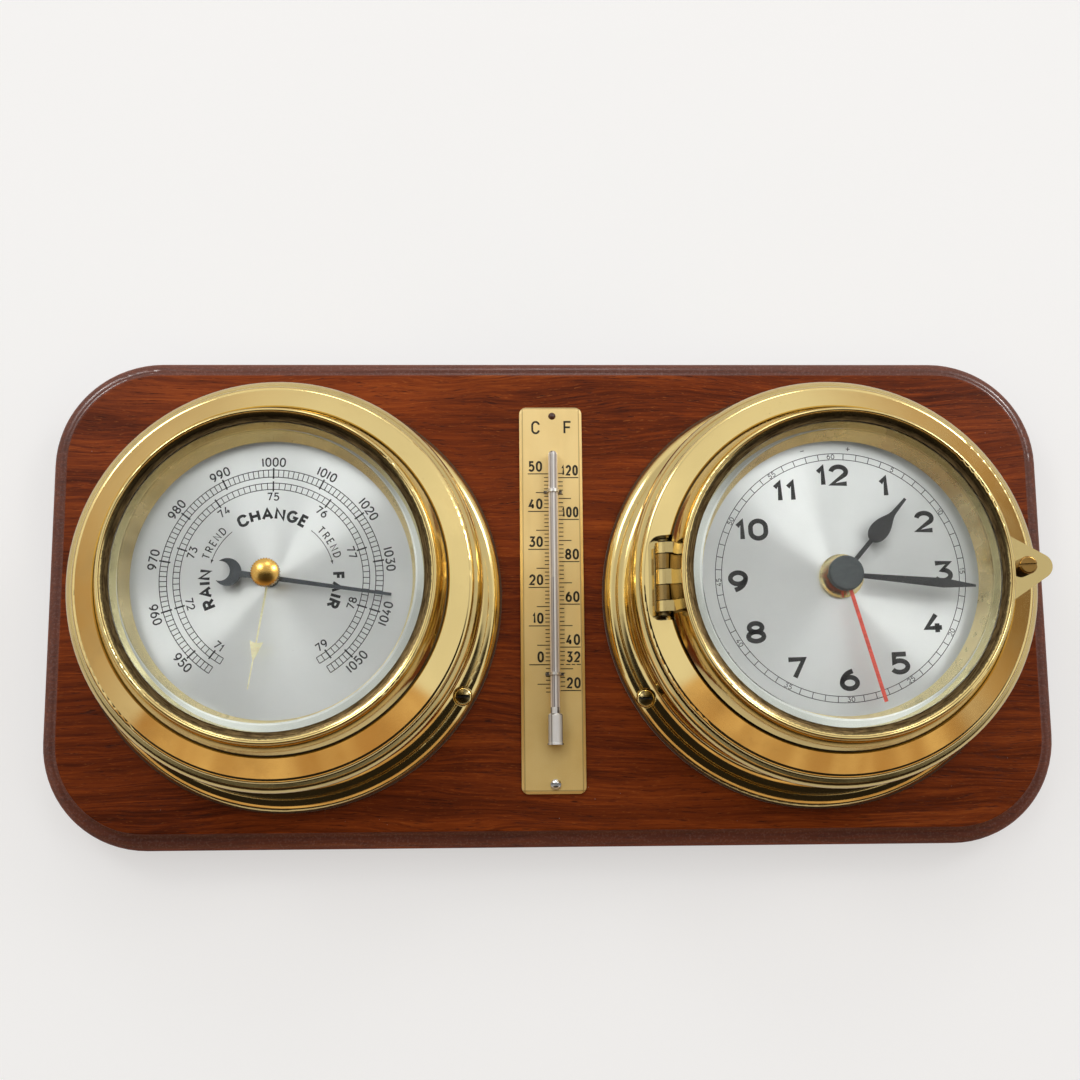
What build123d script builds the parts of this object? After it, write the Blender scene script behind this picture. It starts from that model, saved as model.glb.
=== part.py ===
"""Wall weather station: an aneroid barometer, a thermometer and a battery clock on one mahogany board.

Millimetres.  The board lies on its back: +Z is the way the dials face, +X is to the right of a reader,
+Y is towards twelve o'clock, and the origin is the middle of the board's back face.
Heights called *_H are measured from the board's face, the others from the board's back.
"""
from build123d import *
import math
import os

# Board with a stepped, coved edge and two routed keyholes in the back
BOARD_END_MARGIN = 10.3
BOARD_SIDE_MARGIN = 11.5
BOARD_THICK = 18.0
BOARD_CORNER_R = 33.0
EDGE_STEP_WIDTH = 5.0
EDGE_STEP_DROP = 3.6
EDGE_COVE_R = 1.7
EDGE_ROUND_R = 2.8
FACE_ARRIS_R = 0.6
BACK_ARRIS_R = 1.0
KEYHOLE_SPACING = 200.0
KEYHOLE_Y = 34.0
KEYHOLE_ENTRY_R = 5.0
KEYHOLE_SLOT_WIDTH = 5.0
KEYHOLE_SLOT_RUN = 12.0
KEYHOLE_LIP = 4.0
KEYHOLE_DEPTH = 9.5

# Case of each instrument: flange, drum and rim moulding in one shell
DRUM_R = 57.0
CASE_WALL = 1.4
GASKET_THICK = 1.0
GASKET_PROUD = 0.6
FLANGE_WIDTH = 8.0
FLANGE_EDGE_TALL = 0.8
FLANGE_BAND_RISE = 1.8
FLANGE_BAND_WIDTH = 3.7
FLANGE_STEP = 0.6
FLANGE_COVE_R = 4.0
RIM_H = 35.3
RIM_DEPTH = 6.2
RIM_STEP = 1.4
RIM_BULGE = 1.6
FLANGE_R = DRUM_R + FLANGE_WIDTH
FLANGE_EDGE_H = GASKET_THICK + FLANGE_EDGE_TALL
FLANGE_BAND_H = FLANGE_EDGE_H + FLANGE_BAND_RISE
FLANGE_BAND_INNER_R = FLANGE_R - FLANGE_BAND_WIDTH
RIM_SEAT_R = DRUM_R + RIM_STEP
RIM_R = RIM_SEAT_R + RIM_BULGE

# Front ring: the fixed cone between the rim and the bezel
FRONT_GAP = 0.3
FRONT_INSET = 1.0
FRONT_WALL = 1.6
FRONT_SHOULDER_WIDTH = 1.4
FRONT_SHOULDER_RISE = 1.5
FRONT_CONE_WIDTH = 6.1
FRONT_CONE_RISE = 4.0
FRONT_BORE_ARRIS = 0.6
LEDGE_WIDTH = 2.3
LEDGE_DEPTH = 1.4
FRONT_R = RIM_SEAT_R - FRONT_INSET
FRONT_WALL_H = RIM_H + FRONT_WALL
FRONT_SHOULDER_R = FRONT_R - FRONT_SHOULDER_WIDTH
FRONT_SHOULDER_H = FRONT_WALL_H + FRONT_SHOULDER_RISE
FRONT_BORE_R = FRONT_SHOULDER_R - FRONT_CONE_WIDTH
FRONT_TOP_H = FRONT_SHOULDER_H + FRONT_CONE_RISE
LEDGE_H = FRONT_TOP_H - LEDGE_DEPTH
LEDGE_BORE_R = FRONT_BORE_R - LEDGE_WIDTH

# Bezel, glass and the ring that holds the glass
BEZEL_FIT = 0.3
BEZEL_LIFT = 0.2
BEZEL_FOOT_RISE = 0.2
BEZEL_NECK_STEP = 2.4
BEZEL_NECK_RISE = 7.8
BEZEL_COVE_SAG = 0.5
BEZEL_WALL = 0.4
BEZEL_LIP_WIDTH = 3.2
BEZEL_LIP_RISE = 0.7
BEZEL_LIP_SAG = 0.15
BEZEL_CREST_R = 0.6
BEZEL_CROWN = 1.2
GLASS_THICK = 2.4
GLASS_EDGE_THICK = 0.7
GLASS_BEVEL_WIDTH = 2.4
GLASS_SEAT = 0.1
GLASS_EDGE_GAP = 0.1
GLASS_RING_WIDTH = 1.0
GLASS_RING_DEPTH = 1.2
BEZEL_R = FRONT_BORE_R - BEZEL_FIT
BEZEL_FOOT_TOP_H = FRONT_TOP_H + BEZEL_FOOT_RISE
BEZEL_NECK_R = BEZEL_R - BEZEL_NECK_STEP
BEZEL_NECK_H = BEZEL_FOOT_TOP_H + BEZEL_NECK_RISE
BEZEL_BORE_R = BEZEL_NECK_R - BEZEL_WALL
BEZEL_LIP_R = BEZEL_BORE_R - BEZEL_LIP_WIDTH
BEZEL_LIP_H = BEZEL_NECK_H + BEZEL_LIP_RISE
BEZEL_TOP_H = BEZEL_LIP_H + BEZEL_CROWN
BEZEL_CREST_H = BEZEL_TOP_H - BEZEL_CREST_R
BEZEL_CREST_INNER_R = BEZEL_NECK_R - 2 * BEZEL_CREST_R
GLASS_R = BEZEL_BORE_R - GLASS_EDGE_GAP
GLASS_TOP_H = BEZEL_LIP_H - GLASS_SEAT
GLASS_LOW_H = GLASS_TOP_H - GLASS_THICK
GLASS_EDGE_H = GLASS_LOW_H + GLASS_EDGE_THICK
GLASS_BEVEL_R = BEZEL_LIP_R - GLASS_BEVEL_WIDTH

# Dials on their spacers, and the sloped ring round each of them
DIAL_THICK = 0.8
DIAL_STAND = 4.2
DIAL_GAP = 0.4
DIAL_SPACER_WIDTH = 3.0
CASE_MOUTH_INSET = 2.2
DIAL_RING_WALL = 0.8
DIAL_RING_SLOPE = 4.7
DIAL_RING_GAP = 0.8
DIAL_RING_FLANGE = 5.5
DIAL_RING_FLANGE_THICK = 0.5
DIAL_RING_INSET = 1.0
DIAL_R = LEDGE_BORE_R - DIAL_GAP
DIAL_LOW_H = RIM_H + DIAL_STAND
DIAL_TOP_H = DIAL_LOW_H + DIAL_THICK
CASE_MOUTH_R = DIAL_R - DIAL_SPACER_WIDTH - CASE_MOUTH_INSET
DIAL_RING_FLANGE_R = DIAL_R - DIAL_RING_INSET
DIAL_RING_FOOT_R = DIAL_RING_FLANGE_R - DIAL_RING_WALL - DIAL_RING_FLANGE
DIAL_RING_TOP_R = DIAL_RING_FOOT_R + DIAL_RING_SLOPE
DIAL_RING_TOP_H = GLASS_LOW_H - GLASS_RING_DEPTH - DIAL_RING_GAP

# Pocket hinge of the clock bezel, on the nine o'clock side
HINGE_SETBACK = 0.8
HINGE_SINK = 1.8
KNUCKLE_R = 2.5
KNUCKLE_END = 3.3
KNUCKLE_MID = 4.5
KNUCKLE_GAP = 0.25
PIN_R = 1.0
PIN_CLEARANCE = 0.05
PIN_HEAD_R = 1.6
PIN_HEAD_THICK = 0.6
HINGE_LEAF_THICK = 1.2
HINGE_LEAF_REACH = 4.5
HINGE_POCKET_MARGIN = 4.3
HINGE_POCKET_END_GAP = 1.65
HINGE_POCKET_CORNER_R = 3.4
HINGE_SWING_GAP = 0.4
HINGE_X = -(FRONT_BORE_R + HINGE_SETBACK)
HINGE_H = FRONT_TOP_H - HINGE_SINK
HINGE_SPAN = 2 * KNUCKLE_END + 3 * KNUCKLE_MID
HINGE_POCKET_OUTER_X = HINGE_X - HINGE_POCKET_MARGIN
HINGE_POCKET_LENGTH = HINGE_SPAN + 2 * (PIN_HEAD_THICK + HINGE_POCKET_END_GAP)

# Latch lug of the clock bezel, on the three o'clock side
LATCH_ANGLE = 2.3
LATCH_ROOT_HALF = 9.6
LATCH_REACH = 8.2
LATCH_TIP_R = 3.6
LATCH_LIFT = 0.6
LATCH_THICK = 1.8
LATCH_SETBACK = 2.3
LATCH_HEAD_R = 2.6
LATCH_HEAD_TALL = 3.8
LATCH_HEAD_ARRIS = 0.5
LATCH_HEAD_LIFT = 0.1
LATCH_SHANK_R = 1.4
LATCH_END_GAP = 2.3
LATCH_FIT = 0.05
LATCH_HOLE_CLEARANCE = 0.5
SLOT_WIDTH = 0.8
SLOT_DEPTH = 0.9
LATCH_SCREW_X = FRONT_BORE_R + LATCH_SETBACK
LATCH_TIP_X = LATCH_SCREW_X + LATCH_REACH
LATCH_BOTTOM_H = FRONT_TOP_H + LATCH_LIFT
LATCH_SHANK_END_H = RIM_H + LATCH_END_GAP

# Wood screws and cup washers of the flanges
FLANGE_SCREW_ANGLES = (90.0, -30.0, -149.0)
FLANGE_SCREW_SETBACK = 4.8
SCREW_HEAD_R = 2.1
SCREW_HEAD_TALL = 1.5
SCREW_SHANK_R = 1.2
SCREW_DEPTH = 11.0
SCREW_FIT = 0.02
WASHER_R = 2.8
WASHER_TALL = 1.0
WASHER_SINK = 0.6
SPOT_FACE_CLEARANCE = 0.3
FLANGE_SCREW_CIRCLE_R = DRUM_R + FLANGE_SCREW_SETBACK
WASHER_SEAT_H = FLANGE_BAND_H - WASHER_SINK

# Thermometer: engraved plate, glass stem with a mercury bulb, two clips, a pin and a screw
PLATE_WIDTH = 19.7
PLATE_SIDE_GAP = 6.35
PLATE_LENGTH = 121.0
PLATE_THICK = 1.2
PLATE_CORNER_R = 2.2
PLATE_BEVEL = 0.8
STEM_X = 0.5
STEM_R = 1.45
STEM_TOP_Y = 45.8
STEM_END_Y = -34.4
BORE_R = 0.45
COLUMN_FIT = 0.03
COLUMN_TOP_Y = 5.6
BULB_R = 2.5
BULB_NECK = 1.8
BULB_LENGTH = 9.6
BULB_RIM = 0.25
UPPER_CLIP_DROP = 12.8
LOWER_CLIP_RISE = 10.3
CLIP_WIDTH = 0.9
CLIP_THICK = 0.35
CLIP_FOOT = 1.0
CLIP_FIT = 0.05
PLATE_FIXING_INSET = 2.9
PLATE_FIXING_SHANK_R = 0.8
PLATE_FIXING_CLEARANCE = 0.1
PLATE_FIXING_DEPTH = 8.0
PLATE_PIN_HEAD_R = 1.15
PLATE_PIN_HEAD_TALL = 0.7
PLATE_SCREW_HEAD_R = 1.6
PLATE_SCREW_HEAD_TALL = 1.3
COLUMN_R = BORE_R - COLUMN_FIT
BULB_NECK_Y = STEM_END_Y - BULB_NECK
BULB_END_Y = BULB_NECK_Y - BULB_LENGTH
CLIP_YS = (STEM_TOP_Y - UPPER_CLIP_DROP, STEM_END_Y + LOWER_CLIP_RISE)
PLATE_PIN_Y = PLATE_LENGTH / 2 - PLATE_FIXING_INSET
PLATE_SCREW_Y = -PLATE_PIN_Y
INSTRUMENT_X = PLATE_WIDTH / 2 + PLATE_SIDE_GAP + FLANGE_R
BOARD_LENGTH = 2 * (INSTRUMENT_X + FLANGE_R + BOARD_END_MARGIN)
BOARD_WIDTH = 2 * (FLANGE_R + BOARD_SIDE_MARGIN)

# Aneroid movement: base plate, capsule, leaf spring, two bridge plates on pillars, sector and pinion
BASE_PLATE_R = 39.0
BASE_PLATE_THICK = 1.6
CAPSULE_R = 18.0
CAPSULE_TALL = 7.0
CAPSULE_WAVES = 3
CAPSULE_WAVE_TALL = 0.5
CAPSULE_FOOT_R = 4.0
CAPSULE_FOOT_TALL = 1.5
CAPSULE_STEM_R = 2.0
SPRING_STEM_PROUD = 0.5
SPRING_ANGLE = -50.0
SPRING_WIDTH = 14.0
SPRING_THICK = 1.2
SPRING_CAPSULE_GAP = 4.5
SPRING_POST_LENGTH = 7.0
SPRING_POST_GAP = 3.5
SPRING_REACH = 15.0
LEVER_INSET = 3.0
LEVER_R = 0.9
LEVER_ROOM = 2.5
LEVER_PROUD = 5.0
BRIDGE_R = 27.0
BRIDGE_THICK = 1.2
BRIDGE_DROP = 1.3
BRIDGE_ROOM = 7.8
PILLAR_INSET = 3.5
PILLAR_ANGLES = (65.0, 205.0, 325.0)
PILLAR_R = 2.0
PILLAR_PIVOT_R = 1.2
PILLAR_RIVET = 0.4
PILLAR_FIT = 0.02
PIVOT_R = 0.5
PIVOT_CLEARANCE = 0.05
ARBOR_SHAKE = 0.2
GEAR_MODULE = 0.25
GEAR_BACKLASH = 0.05
GEAR_PRESSURE_ANGLE = 20.0
PINION_TEETH = 10
SECTOR_FULL_TEETH = 120
SECTOR_TEETH = 13
SECTOR_OFFSET_ANGLE = 8.0
SECTOR_ANGLE = -90.0
SECTOR_LIFT = 3.6
SECTOR_THICK = 1.2
SECTOR_RIM = 2.2
SECTOR_ARM_WIDTH = 3.0
SECTOR_HUB_R = 2.2
SECTOR_HUB_PROUD = 1.0
SECTOR_ARBOR_R = 0.9
SECTOR_TAIL = 8.0
LINK_R = 0.35
LINK_LENGTH = 4.6
PINION_OVERLAP = 0.6
POINTER_ARBOR_R = 0.75
HAIRSPRING_LIFT = 1.3
HAIRSPRING_TALL = 0.6
HAIRSPRING_STRIP = 0.2
HAIRSPRING_INNER_R = 1.3
HAIRSPRING_OUTER_R = 5.6
HAIRSPRING_TURNS = 4
UPPER_BRIDGE_H = RIM_H - BRIDGE_DROP
LOWER_BRIDGE_H = UPPER_BRIDGE_H - BRIDGE_ROOM - BRIDGE_THICK
SECTOR_H = LOWER_BRIDGE_H + BRIDGE_THICK + SECTOR_LIFT
HAIRSPRING_H = SECTOR_H + SECTOR_THICK + HAIRSPRING_LIFT
PILLAR_CIRCLE_R = BRIDGE_R - PILLAR_INSET
SPRING_POST_X = -(CAPSULE_R + SPRING_POST_GAP + SPRING_POST_LENGTH / 2)

# Barometer hands and the knob through the glass
POINTER_LIFT = 2.3
POINTER_THICK = 0.4
POINTER_ANGLE = -8.1
POINTER_TIP = 34.4
POINTER_ROOT_WIDTH = 1.4
POINTER_TIP_WIDTH = 0.8
POINTER_HUB_R = 2.6
POINTER_BOSS_R = 1.6
POINTER_HUB_TALL = 1.0
CRESCENT_X = -12.2
CRESCENT_R = 3.95
CRESCENT_BORE_R = 2.85
CRESCENT_BORE_SHIFT = 2.15
POINTER_TAIL_WIDTH = 1.7
SET_HAND_DROP = 2.7
SET_HAND_THICK = 0.35
SET_HAND_ANGLE = -99.4
SET_HAND_TIP = 32.0
SET_HAND_WIDTH = 0.6
SET_HAND_TIP_WIDTH = 0.25
SET_HAND_HUB_R = 2.4
SET_BARB_X = 18.6
SET_BARB_LENGTH = 5.8
SET_BARB_HALF = 1.85
SET_BARB_NOTCH = 0.5
SET_SHAFT_R = 1.2
SET_SHAFT_PROUD = 0.4
SET_BUSH_R = 2.0
SET_BUSH_FLANGE_R = 3.0
SET_BUSH_FLANGE_THICK = 0.5
SET_BUSH_FIT = 0.05
KNOB_R = 4.0
KNOB_TALL = 4.4
KNOB_CROWN = 1.5
KNOB_FOOT_BEVEL = 0.7
KNOB_LIFT = 0.3
KNOB_NOTCHES = 32
KNOB_NOTCH_R = 0.28
POINTER_H = DIAL_TOP_H + POINTER_LIFT
SET_HAND_H = GLASS_LOW_H - SET_HAND_DROP

# Battery movement of the clock
MOVEMENT_SIDE_ROOM = 14.0
MOVEMENT_TALL = 15.5
MOVEMENT_CORNER_R = 5.0
MOVEMENT_ARRIS_R = 1.0
BATTERY_R = 7.0
BATTERY_END_WALL = 2.6
BATTERY_NUB_R = 2.6
BATTERY_NUB = 1.0
BATTERY_WALL = 3.0
BATTERY_CLEARANCE = 0.3
SETTING_WHEEL_R = 6.0
SETTING_WHEEL_TALL = 3.0
SETTING_WHEEL_Y = 10.0
BUSH_R = 4.0
BUSH_RISE = 2.7
BUSH_FLOOR_GAP = 0.4
DIAL_HOLE_FIT = 0.1
NUT_WIDTH = 2.3
NUT_TALL = 2.2
NUT_BEVEL = 0.5
NUT_FIT = 0.05
NUT_SLOT = 1.3
NUT_SLOT_DEPTH = 0.9
TUBE_FIT = 0.05
HAND_TUBE_DEPTH = 5.4
HOUR_TUBE_R = 2.6
MINUTE_TUBE_R = 1.7
SECOND_ARBOR_R = 0.6
MOVEMENT_SIZE = 2 * (CASE_MOUTH_R - MOVEMENT_SIDE_ROOM)
BATTERY_Y = BATTERY_R + BATTERY_WALL - MOVEMENT_SIZE / 2
BATTERY_LENGTH = MOVEMENT_SIZE - 2 * (BATTERY_END_WALL + BATTERY_CLEARANCE) - BATTERY_NUB
NUT_R = BUSH_R + NUT_WIDTH
BUSH_TOP_H = DIAL_TOP_H + BUSH_RISE
HAND_ROOT_H = BUSH_TOP_H - HAND_TUBE_DEPTH

# Clock hands
HOUR_LIFT = 0.4
HOUR_ANGLE = 49.5
HOUR_STEM_WIDTH = 1.25
HOUR_LEAF_START = 13.0
HOUR_LEAF_LENGTH = 11.0
HOUR_LEAF_HALF = 2.75
HOUR_LEAF_END_WIDTH = 1.35
HOUR_TIP = 29.0
HOUR_TIP_WIDTH = 0.8
HAND_PITCH = 1.5
MINUTE_ANGLE = -5.3
MINUTE_TIP = 37.6
MINUTE_ROOT_WIDTH = 1.0
MINUTE_WIDEST = 28.5
MINUTE_WIDTH = 2.7
MINUTE_TIP_WIDTH = 0.6
SECOND_PITCH = 1.4
SECOND_ANGLE = -74.6
SECOND_TIP = 37.6
SECOND_WIDTH = 1.0
SECOND_HUB_R = 4.0
HAND_THICK = 0.4
HAND_HUB_R = 3.4
CAP_R = 5.0
CAP_TALL = 1.5
CAP_EDGE_R = 0.6
HOUR_H = BUSH_TOP_H + HOUR_LIFT
MINUTE_H = HOUR_H + HAND_PITCH
SECOND_H = MINUTE_H + SECOND_PITCH

os.makedirs("parts", exist_ok=True)
STAND = (Align.CENTER, Align.CENTER, Align.MIN)
FROM_LEFT = (Align.MIN, Align.CENTER, Align.MIN)


def save(node, solid):
    export_step(solid, f"parts/{node}.step")


def rod(radius, low, high):
    return Pos(0, 0, low) * Cylinder(radius, high - low, align=STAND)


def tube(outer, inner, low, high):
    return rod(outer, low, high) - rod(inner, low - 1, high + 1)


def slab(sketch, low, high):
    return Pos(0, 0, low) * extrude(sketch, high - low)


def turned(start, *steps):
    """Solid of revolution about Z.  A step is (r, z) for a line, or (mid r, mid z, r, z) for an arc."""
    edges = []
    here = start
    for step in steps + (start,):
        there = step[-2:]
        if len(step) == 2:
            edges.append(Line((here[0], 0, here[1]), (there[0], 0, there[1])))
        else:
            edges.append(ThreePointArc((here[0], 0, here[1]), (step[0], 0, step[1]), (there[0], 0, there[1])))
        here = there
    return revolve(make_face(edges), Axis.Z)


def dome(radius, low, top):
    """Arc step for turned(): from (radius, low) over a spherical crown to the axis at top."""
    rise = top - low
    ball = (radius ** 2 + rise ** 2) / (2 * rise)
    return (radius / 2, top - ball + math.sqrt(ball ** 2 - radius ** 2 / 4), 0, top)


def outline(*points):
    return make_face(Polyline(*points, close=True))


def polar(radius, angle):
    return (radius * math.cos(math.radians(angle)), radius * math.sin(math.radians(angle)))


def at_barometer(solid):
    return Pos(-INSTRUMENT_X, 0, BOARD_THICK) * solid


def at_clock(solid):
    return Pos(INSTRUMENT_X, 0, BOARD_THICK) * solid


def on_board(solid):
    return Pos(0, 0, BOARD_THICK) * solid


def at_screws(solid):
    """One copy of a flange fastener at each screw place of both instruments."""
    places = [polar(FLANGE_SCREW_CIRCLE_R, angle) for angle in FLANGE_SCREW_ANGLES]
    ring = Part() + [Pos(x, y, 0) * solid for x, y in places]
    return at_barometer(ring) + at_clock(ring)


def screw_slot(radius, top):
    return Pos(0, 0, top - SLOT_DEPTH) * Box(2 * radius + 1, SLOT_WIDTH, 2 * SLOT_DEPTH, align=STAND)


# Board
step_top = BOARD_THICK - EDGE_STEP_DROP
foot = slab(RectangleRounded(BOARD_LENGTH, BOARD_WIDTH, BOARD_CORNER_R), 0, step_top)
foot = fillet(foot.faces().sort_by(Axis.Z)[-1].edges(), EDGE_ROUND_R)
foot = fillet(foot.faces().sort_by(Axis.Z)[0].edges(), BACK_ARRIS_R)
inset = 2 * EDGE_STEP_WIDTH
raised = slab(RectangleRounded(BOARD_LENGTH - inset, BOARD_WIDTH - inset, BOARD_CORNER_R - EDGE_STEP_WIDTH),
              step_top - EDGE_COVE_R, BOARD_THICK)
raised = fillet(raised.faces().sort_by(Axis.Z)[-1].edges(), FACE_ARRIS_R)
board = foot + raised
cove_edges = board.edges().filter_by_position(Axis.Z, step_top - 0.01, step_top + 0.01).filter_by(
    lambda edge: abs(edge.center().X) < BOARD_LENGTH / 2 - EDGE_STEP_WIDTH + 0.1
    and abs(edge.center().Y) < BOARD_WIDTH / 2 - EDGE_STEP_WIDTH + 0.1)
board = fillet(cove_edges, EDGE_COVE_R)
slot_run = Pos(0, KEYHOLE_SLOT_RUN / 2, 0)
keyhole = rod(KEYHOLE_ENTRY_R, -1, KEYHOLE_DEPTH)
neck = slot_run * SlotCenterToCenter(KEYHOLE_SLOT_RUN, KEYHOLE_SLOT_WIDTH, rotation=90)
undercut = slot_run * SlotCenterToCenter(KEYHOLE_SLOT_RUN, 2 * KEYHOLE_ENTRY_R, rotation=90)
keyhole += slab(neck, -1, KEYHOLE_DEPTH)
keyhole += slab(undercut, KEYHOLE_LIP, KEYHOLE_DEPTH)
for side in (-1, 1):
    board -= Pos(side * KEYHOLE_SPACING / 2, KEYHOLE_Y, 0) * keyhole
board -= at_screws(rod(SCREW_SHANK_R + SCREW_FIT, -SCREW_DEPTH, 1))
for y in (PLATE_PIN_Y, PLATE_SCREW_Y):
    board -= on_board(Pos(STEM_X, y, 0) * rod(PLATE_FIXING_SHANK_R + SCREW_FIT, -PLATE_FIXING_DEPTH, 1))
save("board", board)

# Gaskets, cases, wood screws and cup washers
gasket = tube(FLANGE_R + GASKET_PROUD, CASE_MOUTH_R, 0, GASKET_THICK)
gaskets = at_barometer(gasket) + at_clock(gasket)
gaskets -= at_screws(rod(SCREW_SHANK_R + SPOT_FACE_CLEARANCE, -1, GASKET_THICK + 1))
save("flange_gaskets", gaskets)

cove_foot_h = FLANGE_BAND_H + FLANGE_STEP
cove_mid = FLANGE_COVE_R * (1 - math.sqrt(0.5))
edge_mid_r = FLANGE_R - 0.3 * (FLANGE_R - FLANGE_BAND_INNER_R)
rim_low_h = RIM_H - RIM_DEPTH
case = turned(
    (0, GASKET_THICK),
    (FLANGE_R, GASKET_THICK),
    (FLANGE_R, FLANGE_EDGE_H),
    (edge_mid_r, FLANGE_BAND_H - 0.35 * (FLANGE_BAND_H - FLANGE_EDGE_H), FLANGE_BAND_INNER_R, FLANGE_BAND_H),
    (FLANGE_BAND_INNER_R, cove_foot_h),
    (DRUM_R + FLANGE_COVE_R, cove_foot_h),
    (DRUM_R + cove_mid, cove_foot_h + cove_mid, DRUM_R, cove_foot_h + FLANGE_COVE_R),
    (DRUM_R, rim_low_h),
    (RIM_SEAT_R, rim_low_h),
    (RIM_R, RIM_H - RIM_DEPTH / 2, RIM_SEAT_R, RIM_H),
    (CASE_MOUTH_R, RIM_H),
    (CASE_MOUTH_R, RIM_H - CASE_WALL),
    (DRUM_R - CASE_WALL, RIM_H - CASE_WALL),
    (DRUM_R - CASE_WALL, GASKET_THICK + CASE_WALL),
    (0, GASKET_THICK + CASE_WALL))
screw_clearance = rod(SCREW_SHANK_R + SPOT_FACE_CLEARANCE, 0, WASHER_SEAT_H + 1)
spot_face = rod(WASHER_R + SPOT_FACE_CLEARANCE, WASHER_SEAT_H, WASHER_SEAT_H + 8)
for angle in FLANGE_SCREW_ANGLES:
    x, y = polar(FLANGE_SCREW_CIRCLE_R, angle)
    case -= Pos(x, y, 0) * (screw_clearance + spot_face)
save("barometer_case", at_barometer(case))
save("clock_case", at_clock(case))

washer_top = WASHER_SEAT_H + WASHER_TALL
washer = turned(
    (SCREW_SHANK_R + SPOT_FACE_CLEARANCE, WASHER_SEAT_H),
    (WASHER_R, WASHER_SEAT_H),
    (WASHER_R - 0.1, washer_top - 0.3, WASHER_R - 0.5, washer_top),
    (SCREW_HEAD_R + 0.05, washer_top),
    (SCREW_SHANK_R + SPOT_FACE_CLEARANCE, WASHER_SEAT_H + 0.4))
save("cup_washers", at_screws(washer))

head_foot = WASHER_SEAT_H + 0.5
head_top = head_foot + SCREW_HEAD_TALL
screw = turned(
    (0, -SCREW_DEPTH),
    (SCREW_SHANK_R, -SCREW_DEPTH + 2 * SCREW_SHANK_R),
    (SCREW_SHANK_R, head_foot),
    (SCREW_HEAD_R - 0.1, washer_top),
    (SCREW_HEAD_R, head_foot + 0.6 * SCREW_HEAD_TALL),
    dome(SCREW_HEAD_R, head_foot + 0.6 * SCREW_HEAD_TALL, head_top))
save("flange_screws", at_screws(screw - screw_slot(SCREW_HEAD_R, head_top)))

# Front rings; the clock's has the hinge pocket and the latch hole
front_foot_h = RIM_H
bore_arris_h = FRONT_TOP_H - FRONT_BORE_ARRIS * FRONT_CONE_RISE / FRONT_CONE_WIDTH
front = turned(
    (LEDGE_BORE_R, front_foot_h),
    (FRONT_R - FRONT_GAP, front_foot_h),
    (FRONT_R - FRONT_GAP, front_foot_h + FRONT_GAP),
    (FRONT_R, front_foot_h + FRONT_GAP),
    (FRONT_R, FRONT_WALL_H),
    (0.3 * FRONT_SHOULDER_R + 0.7 * FRONT_R, 0.3 * FRONT_WALL_H + 0.7 * FRONT_SHOULDER_H,
     FRONT_SHOULDER_R, FRONT_SHOULDER_H),
    (FRONT_BORE_R + FRONT_BORE_ARRIS, bore_arris_h),
    (FRONT_BORE_R, bore_arris_h - FRONT_BORE_ARRIS),
    (FRONT_BORE_R, LEDGE_H),
    (LEDGE_BORE_R, LEDGE_H))
save("barometer_front_ring", at_barometer(front))
pocket_inner_x = -(LEDGE_BORE_R - 2 * HINGE_POCKET_CORNER_R)
pocket_width = pocket_inner_x - HINGE_POCKET_OUTER_X
pocket = RectangleRounded(pocket_width, HINGE_POCKET_LENGTH, HINGE_POCKET_CORNER_R)
pocket = slab(pocket, RIM_H - 1, FRONT_TOP_H + 1)
latch_turn = Rot(0, 0, LATCH_ANGLE)
latch_hole = rod(LATCH_SHANK_R + LATCH_HOLE_CLEARANCE, RIM_H - 1, FRONT_TOP_H + 1)
clock_front = front - Pos((pocket_inner_x + HINGE_POCKET_OUTER_X) / 2, 0, 0) * pocket
clock_front -= latch_turn * Pos(LATCH_SCREW_X, 0, 0) * latch_hole
save("clock_front_ring", at_clock(clock_front))

# Bezels, glasses and glass rings
bezel_low = LEDGE_H + BEZEL_LIFT
neck_mid = ((BEZEL_R + BEZEL_NECK_R) / 2 - BEZEL_COVE_SAG, (BEZEL_FOOT_TOP_H + BEZEL_NECK_H) / 2)
lip_mid = ((BEZEL_CREST_INNER_R + BEZEL_LIP_R) / 2, (BEZEL_CREST_H + BEZEL_LIP_H) / 2 - BEZEL_LIP_SAG)


def bezel_ring(low):
    return turned(
        (BEZEL_BORE_R, low),
        (BEZEL_R, low),
        (BEZEL_R, BEZEL_FOOT_TOP_H),
        (*neck_mid, BEZEL_NECK_R, BEZEL_NECK_H),
        (BEZEL_NECK_R, BEZEL_CREST_H),
        (BEZEL_NECK_R - BEZEL_CREST_R, BEZEL_TOP_H, BEZEL_CREST_INNER_R, BEZEL_CREST_H),
        (*lip_mid, BEZEL_LIP_R, BEZEL_LIP_H),
        (BEZEL_LIP_R, GLASS_EDGE_H),
        (BEZEL_BORE_R, GLASS_EDGE_H))


glass = turned(
    (0, GLASS_LOW_H),
    (GLASS_R, GLASS_LOW_H),
    (GLASS_R, GLASS_EDGE_H),
    (BEZEL_LIP_R, GLASS_EDGE_H),
    (GLASS_BEVEL_R, GLASS_TOP_H),
    (0, GLASS_TOP_H))
glass_ring = tube(GLASS_R, GLASS_R - GLASS_RING_WIDTH, GLASS_LOW_H - GLASS_RING_DEPTH, GLASS_LOW_H)
save("barometer_bezel", at_barometer(bezel_ring(LEDGE_H)))
bush_hole = rod(SET_BUSH_R + SET_BUSH_FIT, GLASS_LOW_H - 1, GLASS_TOP_H + 1)
save("barometer_glass", at_barometer(glass - bush_hole))
save("barometer_glass_ring", at_barometer(glass_ring))
save("clock_glass", at_clock(glass))
save("clock_glass_ring", at_clock(glass_ring))

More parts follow.
